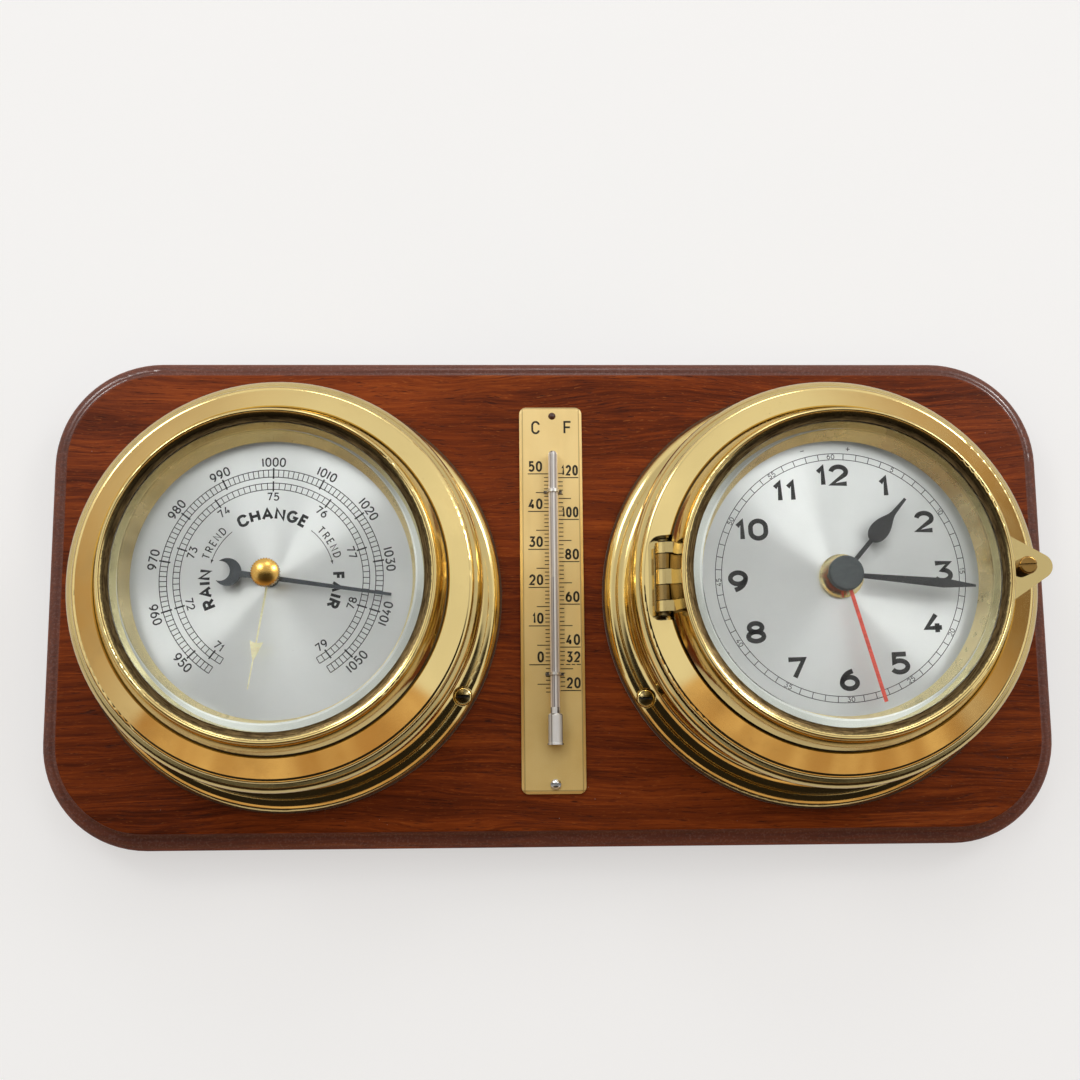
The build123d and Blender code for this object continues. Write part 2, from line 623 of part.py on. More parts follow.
barrel = Pos(HINGE_X, 0, HINGE_H) * Rot(90, 0, 0)
latch_top = LATCH_BOTTOM_H + LATCH_THICK
tip_x = LATCH_TIP_X - LATCH_TIP_R
lug = make_hull(
    (Sketch() + Pos(tip_x, 0, 0) * Circle(LATCH_TIP_R)
     + Pos(BEZEL_NECK_R + BEZEL_WALL, 0, 0) * Rectangle(2 * BEZEL_WALL, 2 * LATCH_ROOT_HALF)).edges())
lug = slab(lug, LATCH_BOTTOM_H, latch_top)
lug -= rod(BEZEL_NECK_R - BEZEL_WALL / 4, LATCH_BOTTOM_H - 1, latch_top + 1)
lug -= Pos(LATCH_SCREW_X, 0, 0) * rod(LATCH_SHANK_R + LATCH_FIT, LATCH_BOTTOM_H - 1, latch_top + 1)
clock_bezel = bezel_ring(bezel_low) + latch_turn * lug
barrel_room = KNUCKLE_R + HINGE_SWING_GAP
clock_bezel -= barrel * Cylinder(barrel_room, HINGE_SPAN + 2 * PIN_HEAD_THICK + 2 * HINGE_SWING_GAP)

# Hinge: knuckles one, three and five turn with the bezel, two and four stand on the case
end_y = 1.5 * KNUCKLE_MID + 0.5 * KNUCKLE_END
knuckle_bore = barrel * Cylinder(PIN_R + PIN_CLEARANCE, 2 * HINGE_SPAN)


def knuckle(y, length):
    return Pos(0, y, 0) * barrel * Cylinder(KNUCKLE_R, length - KNUCKLE_GAP)


strap_x = -(BEZEL_NECK_R - BEZEL_WALL / 2)


def strap(y, length):
    """Leaf from a moving knuckle up to the bezel's wall, seated against its barrel groove."""
    plate = Box(strap_x - HINGE_X, length - KNUCKLE_GAP, KNUCKLE_R, align=FROM_LEFT)
    return Pos(HINGE_X, y, bezel_low) * plate


moving = Part() + [knuckle(0, KNUCKLE_MID), knuckle(end_y, KNUCKLE_END), knuckle(-end_y, KNUCKLE_END)]
moving += [strap(0, KNUCKLE_MID), strap(end_y, KNUCKLE_END), strap(-end_y, KNUCKLE_END)]
bezel_leaf = moving - knuckle_bore - clock_bezel
save("hinge_bezel_leaf", at_clock(bezel_leaf))
save("clock_bezel", at_clock(clock_bezel))

leaf_width = -HINGE_X - LEDGE_BORE_R + HINGE_LEAF_REACH
leaf_length = 4 * KNUCKLE_MID
leaf_place = Pos((HINGE_X - LEDGE_BORE_R) / 2, 0, RIM_H)
fixed = leaf_place * Box(leaf_width, leaf_length, HINGE_LEAF_THICK, align=STAND)
web = Box(1.6 * KNUCKLE_R, KNUCKLE_MID - KNUCKLE_GAP, HINGE_H - RIM_H, align=STAND)
for y in (-KNUCKLE_MID, KNUCKLE_MID):
    fixed += knuckle(y, KNUCKLE_MID)
    fixed += Pos(HINGE_X, y, RIM_H) * web
save("hinge_case_leaf", at_clock(fixed - knuckle_bore))

pin_length = HINGE_SPAN + 2 * KNUCKLE_GAP
pin_head = Cylinder(PIN_HEAD_R, PIN_HEAD_THICK)
pin = barrel * Cylinder(PIN_R, pin_length)
for end in (-1, 1):
    pin += barrel * Pos(0, 0, end * (pin_length + PIN_HEAD_THICK) / 2) * pin_head
save("hinge_pin", at_clock(pin))

latch_head_top = latch_top + LATCH_HEAD_TALL
arris_mid = LATCH_HEAD_ARRIS * (1 - math.sqrt(0.5))
latch_screw = turned(
    (0, LATCH_SHANK_END_H),
    (LATCH_SHANK_R - 0.4, LATCH_SHANK_END_H),
    (LATCH_SHANK_R, LATCH_SHANK_END_H + 0.4),
    (LATCH_SHANK_R, latch_top + LATCH_HEAD_LIFT),
    (LATCH_HEAD_R, latch_top + LATCH_HEAD_LIFT),
    (LATCH_HEAD_R, latch_head_top - LATCH_HEAD_ARRIS),
    (LATCH_HEAD_R - arris_mid, latch_head_top - arris_mid, LATCH_HEAD_R - LATCH_HEAD_ARRIS, latch_head_top),
    (0, latch_head_top))
latch_screw -= screw_slot(LATCH_HEAD_R, latch_head_top)
save("latch_screw", at_clock(latch_turn * Pos(LATCH_SCREW_X, 0, 0) * latch_screw))

# Dials on their spacers, and the sloped rings round them
spacer = tube(DIAL_R, DIAL_R - DIAL_SPACER_WIDTH, RIM_H, DIAL_LOW_H)
leaf_gap = 2 * HINGE_SWING_GAP
leaf_room = Box(leaf_width + leaf_gap, leaf_length + leaf_gap, 3 * DIAL_STAND)
save("dial_spacers", at_barometer(spacer) + at_clock(spacer - leaf_place * leaf_room))
dial = rod(DIAL_R, DIAL_LOW_H, DIAL_TOP_H)
save("barometer_dial", at_barometer(dial - rod(POINTER_ARBOR_R + 0.3, 0, DIAL_TOP_H + 1)))
save("clock_dial", at_clock(dial - rod(BUSH_R + DIAL_HOLE_FIT, 0, DIAL_TOP_H + 1)))
dial_ring = turned(
    (DIAL_RING_FOOT_R, DIAL_TOP_H),
    (DIAL_RING_FLANGE_R, DIAL_TOP_H),
    (DIAL_RING_FLANGE_R, DIAL_TOP_H + DIAL_RING_FLANGE_THICK),
    (DIAL_RING_FOOT_R + DIAL_RING_WALL + 0.4, DIAL_TOP_H + DIAL_RING_FLANGE_THICK),
    (DIAL_RING_TOP_R + DIAL_RING_WALL, DIAL_RING_TOP_H),
    (DIAL_RING_TOP_R, DIAL_RING_TOP_H))
save("barometer_dial_ring", at_barometer(dial_ring))
save("clock_dial_ring", at_clock(dial_ring))

# Thermometer
thermometer_plate = slab(RectangleRounded(PLATE_WIDTH, PLATE_LENGTH, PLATE_CORNER_R), 0, PLATE_THICK)
plate_rim = thermometer_plate.faces().sort_by(Axis.Z)[-1].edges()
thermometer_plate = chamfer(plate_rim, length=0.6 * PLATE_BEVEL, length2=PLATE_BEVEL)
fixing_hole = rod(PLATE_FIXING_SHANK_R + PLATE_FIXING_CLEARANCE, -1, PLATE_THICK + 1)
for y in (PLATE_PIN_Y, PLATE_SCREW_Y):
    thermometer_plate -= Pos(STEM_X, y, 0) * fixing_hole
save("thermometer_plate", on_board(thermometer_plate))

stem_axis = Pos(STEM_X, 0, PLATE_THICK + BULB_R) * Rot(-90, 0, 0)
stem = rod(STEM_R, STEM_END_Y, STEM_TOP_Y)
stem = fillet(stem.faces().sort_by(Axis.Z)[-1].edges(), 0.9 * STEM_R)
stem -= rod(BORE_R, STEM_END_Y - 1, STEM_TOP_Y - 2 * STEM_R)
save("thermometer_stem", on_board(stem_axis * stem))
save("mercury_column", on_board(stem_axis * rod(COLUMN_R, STEM_END_Y, COLUMN_TOP_Y)))
bulb = turned(
    (0, BULB_END_Y),
    (BULB_R, BULB_END_Y),
    (BULB_R, BULB_END_Y + 2 * BULB_RIM),
    (BULB_R - BULB_RIM, BULB_END_Y + 3 * BULB_RIM),
    (BULB_R - BULB_RIM, BULB_NECK_Y - 0.8),
    (BULB_R - BULB_RIM - 0.25, BULB_NECK_Y - 0.2, STEM_R, BULB_NECK_Y),
    (STEM_R, STEM_END_Y),
    (0, STEM_END_Y))
save("thermometer_bulb", on_board(stem_axis * bulb))

clip_r = STEM_R + CLIP_FIT
clip_leg = PLATE_THICK + BULB_R
arch = Circle(clip_r + CLIP_THICK) + Pos(0, -clip_leg / 2) * Rectangle(2 * (clip_r + CLIP_THICK), clip_leg)
foot_width = 2 * (clip_r + CLIP_THICK + CLIP_FOOT)
arch += Pos(0, -BULB_R + CLIP_THICK / 2) * Rectangle(foot_width, CLIP_THICK)
arch -= Circle(clip_r) + Pos(0, -clip_leg / 2) * Rectangle(2 * clip_r, clip_leg)
arch -= Pos(0, -BULB_R - clip_leg / 2) * Rectangle(2 * foot_width, clip_leg)
clip = Pos(STEM_X, CLIP_WIDTH / 2, PLATE_THICK + BULB_R) * Rot(90, 0, 0) * extrude(arch, CLIP_WIDTH)
save("stem_clips", on_board(Part() + [Pos(0, y, 0) * clip for y in CLIP_YS]))

plate_pin = turned(
    (0, -PLATE_FIXING_DEPTH),
    (PLATE_FIXING_SHANK_R, -PLATE_FIXING_DEPTH + 2 * PLATE_FIXING_SHANK_R),
    (PLATE_FIXING_SHANK_R, PLATE_THICK),
    (PLATE_PIN_HEAD_R, PLATE_THICK),
    dome(PLATE_PIN_HEAD_R, PLATE_THICK, PLATE_THICK + PLATE_PIN_HEAD_TALL))
save("plate_pin", on_board(Pos(STEM_X, PLATE_PIN_Y, 0) * plate_pin))
plate_screw_top = PLATE_THICK + PLATE_SCREW_HEAD_TALL
plate_screw = turned(
    (0, -PLATE_FIXING_DEPTH),
    (PLATE_FIXING_SHANK_R, -PLATE_FIXING_DEPTH + 2 * PLATE_FIXING_SHANK_R),
    (PLATE_FIXING_SHANK_R, PLATE_THICK),
    (PLATE_SCREW_HEAD_R, PLATE_THICK),
    (PLATE_SCREW_HEAD_R, PLATE_THICK + PLATE_SCREW_HEAD_TALL / 2),
    dome(PLATE_SCREW_HEAD_R, PLATE_THICK + PLATE_SCREW_HEAD_TALL / 2, plate_screw_top))
plate_screw -= screw_slot(PLATE_SCREW_HEAD_R, plate_screw_top)
save("plate_screw", on_board(Pos(STEM_X, PLATE_SCREW_Y, 0) * plate_screw))

# Aneroid movement
back_h = GASKET_THICK + CASE_WALL
base_top = back_h + BASE_PLATE_THICK
save("aneroid_base_plate", at_barometer(rod(BASE_PLATE_R, back_h, base_top)))

capsule_low = base_top + CAPSULE_FOOT_TALL
capsule_top = capsule_low + CAPSULE_TALL
wave = (CAPSULE_R - CAPSULE_FOOT_R - 2) / CAPSULE_WAVES
ripples = []
for count in range(CAPSULE_WAVES):
    outer = CAPSULE_R - 1 - count * wave
    ripples.append((outer - wave / 4, capsule_top + CAPSULE_WAVE_TALL, outer - wave / 2, capsule_top))
    ripples.append((outer - 0.75 * wave, capsule_top - CAPSULE_WAVE_TALL, outer - wave, capsule_top))
post_top = capsule_top + SPRING_CAPSULE_GAP
stem_top = post_top + SPRING_STEM_PROUD
capsule = turned(
    (0, base_top),
    (CAPSULE_FOOT_R, base_top),
    (CAPSULE_FOOT_R, capsule_low),
    (CAPSULE_R - 1, capsule_low),
    (CAPSULE_R, (capsule_low + capsule_top) / 2, CAPSULE_R - 1, capsule_top),
    *ripples,
    (CAPSULE_STEM_R, capsule_top),
    (CAPSULE_STEM_R, stem_top),
    (0, stem_top))
save("aneroid_capsule", at_barometer(capsule))

post = Box(SPRING_POST_LENGTH, SPRING_WIDTH, post_top - base_top, align=STAND)
post = Pos(SPRING_POST_X, 0, base_top) * post
spring_turn = Rot(0, 0, SPRING_ANGLE)
save("spring_post", at_barometer(spring_turn * post))
spring_back_x = SPRING_POST_X - SPRING_POST_LENGTH / 2
spring = Box(SPRING_REACH - spring_back_x, SPRING_WIDTH, SPRING_THICK, align=FROM_LEFT)
spring = Pos(spring_back_x, 0, post_top) * spring
spring = fillet(spring.edges().filter_by(Axis.Z).group_by(Axis.X)[-1], SPRING_WIDTH / 3)
spring -= rod(CAPSULE_STEM_R + PILLAR_FIT, 0, post_top + 2 * SPRING_THICK)
save("capsule_spring", at_barometer(spring_turn * spring))
at_lever = spring_turn * Pos(SPRING_REACH - LEVER_INSET, 0, 0)
lower_top = LOWER_BRIDGE_H + BRIDGE_THICK
lever = rod(LEVER_R, post_top + SPRING_THICK, lower_top + LEVER_PROUD)
save("capsule_lever", at_barometer(at_lever * lever))

upper_top = UPPER_BRIDGE_H + BRIDGE_THICK
sector_pitch_r = GEAR_MODULE * SECTOR_FULL_TEETH / 2
pinion_pitch_r = GEAR_MODULE * PINION_TEETH / 2
sector_centre = polar(sector_pitch_r + pinion_pitch_r, SECTOR_ANGLE)
at_sector = Pos(*sector_centre, 0)
pillar_places = [Pos(*polar(PILLAR_CIRCLE_R, angle), 0) for angle in PILLAR_ANGLES]
bridge = rod(BRIDGE_R, 0, BRIDGE_THICK)
for place in pillar_places:
    bridge -= place * rod(PILLAR_PIVOT_R + PILLAR_FIT, -1, BRIDGE_THICK + 1)
bridge -= at_sector * rod(PIVOT_R + PIVOT_CLEARANCE, -1, BRIDGE_THICK + 1)
lower_bridge = bridge - rod(PIVOT_R + PIVOT_CLEARANCE, -1, BRIDGE_THICK + 1)
lower_bridge -= at_lever * rod(LEVER_R + LEVER_ROOM, -1, BRIDGE_THICK + 1)
upper_bridge = bridge - rod(POINTER_ARBOR_R + PIVOT_CLEARANCE, -1, BRIDGE_THICK + 1)
save("lower_bridge", at_barometer(Pos(0, 0, LOWER_BRIDGE_H) * lower_bridge))
save("upper_bridge", at_barometer(Pos(0, 0, UPPER_BRIDGE_H) * upper_bridge))
pillar = rod(PILLAR_R, base_top, LOWER_BRIDGE_H) + rod(PILLAR_R, lower_top, UPPER_BRIDGE_H)
pillar += rod(PILLAR_PIVOT_R, base_top, upper_top + PILLAR_RIVET)
save("bridge_pillars", at_barometer(Part() + [place * pillar for place in pillar_places]))


def tooth(teeth, module):
    """Half of one involute tooth as (radius, angle in degrees from the tooth's middle), root to tip."""
    pitch = module * teeth / 2
    base = pitch * math.cos(math.radians(GEAR_PRESSURE_ANGLE))
    spread = math.tan(math.radians(GEAR_PRESSURE_ANGLE)) - math.radians(GEAR_PRESSURE_ANGLE)
    half = math.pi / (2 * teeth) - GEAR_BACKLASH / (2 * pitch) + spread
    root = pitch - 1.25 * module
    start = max(root, base)
    flank = []
    for count in range(4):
        radius = start + (pitch + module - start) * count / 3
        roll = math.acos(min(1.0, base / radius))
        flank.append((radius, math.degrees(half - math.tan(roll) + roll)))
    return [(root, math.degrees(half))] * (root < start - 0.01) + flank


def toothed_points(teeth, module, first, count):
    """Points round a run of teeth, counter-clockwise from the first tooth's middle angle."""
    points = []
    for number in range(count):
        middle = first + number * 360 / teeth
        half = tooth(teeth, module)
        points += [polar(radius, middle - angle) for radius, angle in half]
        points += [polar(radius, middle + angle) for radius, angle in reversed(half)]
    return points


sector_top = SECTOR_H + SECTOR_THICK
towards_pinion = SECTOR_ANGLE + 180
tooth_pitch = 360 / SECTOR_FULL_TEETH
first_tooth = towards_pinion + tooth_pitch * (round(SECTOR_OFFSET_ANGLE / tooth_pitch) - SECTOR_TEETH / 2)
inner_r = sector_pitch_r - SECTOR_RIM
last_tooth = first_tooth + (SECTOR_TEETH - 1) * tooth_pitch
sector_sweep = SECTOR_TEETH * tooth_pitch
inner_angles = [last_tooth + tooth_pitch / 2 - sector_sweep * step / 8 for step in range(9)]
inner_arc = [polar(inner_r, angle) for angle in inner_angles]
rim = slab(outline(*toothed_points(SECTOR_FULL_TEETH, GEAR_MODULE, first_tooth, SECTOR_TEETH), *inner_arc),
           SECTOR_H, sector_top)
arm_angle = (first_tooth + last_tooth) / 2
arm_reach = sector_pitch_r - 0.6 * SECTOR_RIM
arm = Box(arm_reach, SECTOR_ARM_WIDTH, SECTOR_THICK, align=FROM_LEFT)
arm = Rot(0, 0, arm_angle) * Pos(0, 0, SECTOR_H) * arm
tail_turn = Rot(0, 0, towards_pinion - 90)
sector_tail = Box(SECTOR_TAIL, SECTOR_ARM_WIDTH, SECTOR_THICK, align=FROM_LEFT)
sector_tail = tail_turn * Pos(0, 0, SECTOR_H) * sector_tail
link_foot = Pos(SECTOR_TAIL - SECTOR_ARM_WIDTH / 2, 0, SECTOR_H + SECTOR_THICK / 2)
link_place = tail_turn * link_foot * Rot(-90, 0, 0)
sector = rim + arm + sector_tail + link_place * rod(LINK_R, 0, LINK_LENGTH)
sector += rod(SECTOR_HUB_R, SECTOR_H - SECTOR_HUB_PROUD, sector_top + SECTOR_HUB_PROUD)
sector += rod(SECTOR_ARBOR_R, lower_top + ARBOR_SHAKE, UPPER_BRIDGE_H - ARBOR_SHAKE)
sector += rod(PIVOT_R, LOWER_BRIDGE_H, upper_top)
save("sector_gear", at_barometer(at_sector * sector))

pinion_first = SECTOR_ANGLE
pinion_points = toothed_points(PINION_TEETH, GEAR_MODULE, pinion_first, PINION_TEETH)
arbor = slab(outline(*pinion_points), SECTOR_H - PINION_OVERLAP, sector_top + PINION_OVERLAP)
pointer_top = POINTER_H + POINTER_THICK + POINTER_HUB_TALL
arbor += rod(POINTER_ARBOR_R, lower_top + ARBOR_SHAKE, pointer_top)
arbor += rod(PIVOT_R, LOWER_BRIDGE_H, lower_top + 2 * ARBOR_SHAKE)
save("pointer_arbor", at_barometer(arbor))

strip_growth = (HAIRSPRING_OUTER_R - HAIRSPRING_INNER_R) / HAIRSPRING_TURNS
coil_steps = 16 * HAIRSPRING_TURNS


def coil(shift):
    turns = [count * HAIRSPRING_TURNS / coil_steps for count in range(coil_steps + 1)]
    return [polar(HAIRSPRING_INNER_R + strip_growth * turn + shift, 360 * turn) for turn in turns]


inside, outside = Spline(*coil(0)), Spline(*coil(HAIRSPRING_STRIP))
ends = [Line(inside @ 0, outside @ 0), Line(inside @ 1, outside @ 1)]
hairspring_top = HAIRSPRING_H + HAIRSPRING_TALL
hairspring = slab(make_face([inside, outside] + ends), HAIRSPRING_H, hairspring_top)
collet_r = HAIRSPRING_INNER_R + HAIRSPRING_STRIP / 2
hairspring += tube(collet_r, POINTER_ARBOR_R + PILLAR_FIT, HAIRSPRING_H, hairspring_top)
save("hairspring", at_barometer(hairspring))

# Barometer hand, with a crescent for a counterweight
needle = outline((0, -POINTER_ROOT_WIDTH / 2), (POINTER_TIP, -POINTER_TIP_WIDTH / 2),
                 (POINTER_TIP, POINTER_TIP_WIDTH / 2), (0, POINTER_ROOT_WIDTH / 2))
tail_end = CRESCENT_X + CRESCENT_R - 0.6
tail = Pos(tail_end / 2, 0) * Rectangle(-tail_end, POINTER_TAIL_WIDTH)
crescent = Pos(CRESCENT_X, 0) * Circle(CRESCENT_R)
crescent -= Pos(CRESCENT_X - CRESCENT_BORE_SHIFT, 0) * Circle(CRESCENT_BORE_R)
pointer = slab(needle + tail + crescent + Circle(POINTER_HUB_R), POINTER_H, POINTER_H + POINTER_THICK)
pointer += rod(POINTER_BOSS_R, POINTER_H, pointer_top)
pointer -= rod(POINTER_ARBOR_R + PILLAR_FIT, 0, pointer_top + 1)
save("barometer_hand", at_barometer(Rot(0, 0, POINTER_ANGLE) * pointer))

# Set hand under the glass, with its bush in the glass and its knob above
set_hand_top = SET_HAND_H + SET_HAND_THICK
barb = outline((SET_BARB_X + SET_BARB_LENGTH, 0), (SET_BARB_X, SET_BARB_HALF),
               (SET_BARB_X + SET_BARB_NOTCH, 0), (SET_BARB_X, -SET_BARB_HALF))
blade = outline((0, -SET_HAND_WIDTH / 2), (SET_HAND_TIP, -SET_HAND_TIP_WIDTH / 2),
                (SET_HAND_TIP, SET_HAND_TIP_WIDTH / 2), (0, SET_HAND_WIDTH / 2))
set_hand = slab(barb + blade + Circle(SET_HAND_HUB_R), SET_HAND_H, set_hand_top)
set_hand -= rod(SET_SHAFT_R + PILLAR_FIT, 0, set_hand_top + 1)
save("set_hand", at_barometer(Rot(0, 0, SET_HAND_ANGLE) * set_hand))

bush_top = GLASS_TOP_H + SET_BUSH_FLANGE_THICK
set_bush = rod(SET_BUSH_R, GLASS_LOW_H - SET_BUSH_FLANGE_THICK, bush_top)
set_bush += rod(SET_BUSH_FLANGE_R, GLASS_TOP_H, bush_top)
set_bush += rod(SET_BUSH_FLANGE_R, GLASS_LOW_H - SET_BUSH_FLANGE_THICK, GLASS_LOW_H)
set_bush -= rod(SET_SHAFT_R + SET_BUSH_FIT, 0, bush_top + 1)
save("set_hand_bush", at_barometer(set_bush))

knob_low = bush_top + KNOB_LIFT
knob_top = knob_low + KNOB_TALL
knob = turned(
    (0, knob_low),
    (KNOB_R - KNOB_FOOT_BEVEL, knob_low),
    (KNOB_R, knob_low + KNOB_FOOT_BEVEL),
    (KNOB_R, knob_top - KNOB_CROWN),
    dome(KNOB_R, knob_top - KNOB_CROWN, knob_top))
for count in range(KNOB_NOTCHES):
    x, y = polar(KNOB_R, count * 360 / KNOB_NOTCHES)
    knob -= Pos(x, y, 0) * rod(KNOB_NOTCH_R, knob_low - 1, knob_top)
knob += rod(SET_SHAFT_R, SET_HAND_H - SET_SHAFT_PROUD, knob_low + KNOB_FOOT_BEVEL)
save("set_knob", at_barometer(knob))

# Clock movement, battery and the nut that holds the dial
movement_top = DIAL_LOW_H
movement_low = movement_top - MOVEMENT_TALL
movement = slab(RectangleRounded(MOVEMENT_SIZE, MOVEMENT_SIZE, MOVEMENT_CORNER_R), movement_low, movement_top)
movement = fillet(movement.faces().sort_by(Axis.Z)[0].edges(), MOVEMENT_ARRIS_R)
battery_axis = Pos(0, BATTERY_Y, movement_low + BATTERY_R) * Rot(0, 90, 0)
bay_r = BATTERY_R + BATTERY_CLEARANCE
bay_length = BATTERY_LENGTH + BATTERY_NUB + 2 * BATTERY_CLEARANCE
bay = battery_axis * Cylinder(bay_r, bay_length)
bay += Pos(0, BATTERY_Y, movement_low) * Box(bay_length, 2 * bay_r, 2 * BATTERY_R)
movement -= bay
movement += Pos(0, SETTING_WHEEL_Y, 0) * rod(SETTING_WHEEL_R, movement_low - SETTING_WHEEL_TALL, movement_low)
movement += rod(BUSH_R, movement_top, BUSH_TOP_H)
movement -= rod(HOUR_TUBE_R + TUBE_FIT, HAND_ROOT_H - BUSH_FLOOR_GAP, BUSH_TOP_H + 1)
save("clock_movement", at_clock(movement))
cell = Cylinder(BATTERY_R, BATTERY_LENGTH)
cell += Pos(0, 0, (BATTERY_LENGTH + BATTERY_NUB) / 2) * Cylinder(BATTERY_NUB_R, BATTERY_NUB)
save("battery", at_clock(battery_axis * Pos(0, 0, -BATTERY_NUB / 2) * cell))
nut_top = DIAL_TOP_H + NUT_TALL
nut = tube(NUT_R, BUSH_R + NUT_FIT, DIAL_TOP_H, nut_top)
nut_rim = nut.edges().filter_by(GeomType.CIRCLE).group_by(Axis.Z)[-1].sort_by(SortBy.RADIUS)[-1]
nut = chamfer(nut_rim, NUT_BEVEL)
nut_slot = Pos(0, 0, nut_top - NUT_SLOT_DEPTH) * Box(3 * NUT_R, NUT_SLOT, NUT_TALL, align=STAND)
for angle in (0, 90):
    nut -= Rot(0, 0, angle) * nut_slot
save("dial_nut", at_clock(nut))

# Clock hands, each on its own tube or arbor, one inside the next
leaf_profile = ((0, 0), (0.13, 0.75), (0.36, 1), (0.64, 0.66), (0.84, 0.18), (1, 0))
hour_edge = [(0, HOUR_STEM_WIDTH / 2)]
for along, swell in leaf_profile:
    edge_half = (1 - along) * HOUR_STEM_WIDTH / 2 + along * HOUR_LEAF_END_WIDTH / 2
    swollen_half = edge_half + swell * (HOUR_LEAF_HALF - edge_half)
    hour_edge.append((HOUR_LEAF_START + along * HOUR_LEAF_LENGTH, swollen_half))
hour_edge.append((HOUR_TIP, HOUR_TIP_WIDTH / 2))


def blade_lines(edge, leaf):
    """Closed blade, mirrored in its axis; the points of edge[leaf] are joined by a smooth curve."""
    lines = [Line((edge[0][0], edge[0][1]), (edge[0][0], -edge[0][1])),
             Line((edge[-1][0], edge[-1][1]), (edge[-1][0], -edge[-1][1]))]
    for side in (1, -1):
        points = [(x, side * y) for x, y in edge]
        lines += [Line(points[0], points[1]), Spline(*points[leaf]), Line(points[-2], points[-1])]
    return lines


hour_lines = blade_lines(hour_edge, slice(1, -1))
hour_hand = slab(make_face(hour_lines) + Circle(HAND_HUB_R), HOUR_H, HOUR_H + HAND_THICK)
hour_hand += rod(HOUR_TUBE_R, HAND_ROOT_H, HOUR_H + HAND_THICK)
hour_hand -= rod(MINUTE_TUBE_R + TUBE_FIT, 0, HOUR_H + 5)
save("hour_hand", at_clock(Rot(0, 0, HOUR_ANGLE) * hour_hand))

minute_half = MINUTE_ROOT_WIDTH / 2
minute_tip_half = MINUTE_TIP_WIDTH / 2
minute_blade = outline((0, -minute_half), (MINUTE_WIDEST, -MINUTE_WIDTH / 2), (MINUTE_TIP, -minute_tip_half),
                       (MINUTE_TIP, minute_tip_half), (MINUTE_WIDEST, MINUTE_WIDTH / 2), (0, minute_half))
minute_hand = slab(minute_blade + Circle(HAND_HUB_R), MINUTE_H, MINUTE_H + HAND_THICK)
minute_hand += rod(MINUTE_TUBE_R, HAND_ROOT_H, MINUTE_H + HAND_THICK)
minute_hand -= rod(SECOND_ARBOR_R + TUBE_FIT, 0, MINUTE_H + 5)
save("minute_hand", at_clock(Rot(0, 0, MINUTE_ANGLE) * minute_hand))

second_blade = Pos(SECOND_TIP / 2, 0) * Rectangle(SECOND_TIP, SECOND_WIDTH)
second_hand = slab(second_blade + Circle(SECOND_HUB_R), SECOND_H, SECOND_H + HAND_THICK)
second_hand += rod(SECOND_ARBOR_R, HAND_ROOT_H, SECOND_H + HAND_THICK)
save("second_hand", at_clock(Rot(0, 0, SECOND_ANGLE) * second_hand))
cap_low = SECOND_H + HAND_THICK
cap = rod(CAP_R, cap_low, cap_low + CAP_TALL)
save("hand_cap", at_clock(fillet(cap.faces().sort_by(Axis.Z)[-1].edges(), CAP_EDGE_R)))
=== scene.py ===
"""Looks of a wall set of barometer, thermometer and clock.

Materials, printed scales, felt fibres, floor, light and camera, in the frame of the solids and in
metres: the board lies on its back, +X is the reader's right, +Y is towards twelve o'clock and +Z is
the way the dials face. Places on the part that have a name are in millimetres and degrees.
"""
import math
import random
from collections import namedtuple

import bpy
from mathutils import Matrix, Vector


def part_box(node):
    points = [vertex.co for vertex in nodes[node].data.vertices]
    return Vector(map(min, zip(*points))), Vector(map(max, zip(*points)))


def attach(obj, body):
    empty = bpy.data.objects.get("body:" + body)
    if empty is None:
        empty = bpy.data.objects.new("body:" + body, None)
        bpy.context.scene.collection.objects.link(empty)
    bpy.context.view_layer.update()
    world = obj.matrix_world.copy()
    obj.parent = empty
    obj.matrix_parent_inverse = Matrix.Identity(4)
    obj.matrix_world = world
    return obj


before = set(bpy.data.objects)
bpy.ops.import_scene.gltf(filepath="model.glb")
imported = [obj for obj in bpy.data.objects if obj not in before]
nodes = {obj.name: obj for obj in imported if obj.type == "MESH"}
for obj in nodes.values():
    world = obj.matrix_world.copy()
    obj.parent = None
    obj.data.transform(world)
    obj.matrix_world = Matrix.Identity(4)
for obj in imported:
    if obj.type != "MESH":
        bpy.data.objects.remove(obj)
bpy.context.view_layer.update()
random.seed(7)
MM = 0.001

INSTRUMENT_X = 81.2
MOULDING_FOOT, MOULDING_TOP = 12.8, 17.4  # heights of the board's moulded edge
FELT_EDGE = 65.3  # radius at which the gaskets' loose fibres start
SCREW_CIRCLE = 61.8
SCREW_ANGLES = (90.0, -30.0, -149.0)
BEZEL_LIP = (45.2, 45.75, 68.0)  # inner and outer radius of its dirt line, and the line's height
FRONT_CONE = (49.9, 60.4, 0.656)  # radius and height of the cone's upper edge, and its slope
HINGE_ROOT = 48.6  # from the clock's axis to the root of the bezel's hinge leaf
GLASS_BEVEL = 41.1  # radius at which the window's ground edge starts
PLATE_LINE_X, PLATE_LINE_Y, PLATE_HEAD = 8.9, -59.5, 59.7  # border of the thermometer plate
STEM_SIDES, STEM_TIP = (-0.95, 1.95), 45.8
MERCURY_TOP = 6.0
BULB_SIDES, BULB_NECK = (-2.0, 3.0), -36.4
CLIP_MIDDLE, CLIP_FOOT = 0.5, 1.6
BATTERY_BAND = 90.0

MATERIALS = {}  # by the name that Shader was given, since Blender may add a number to its own


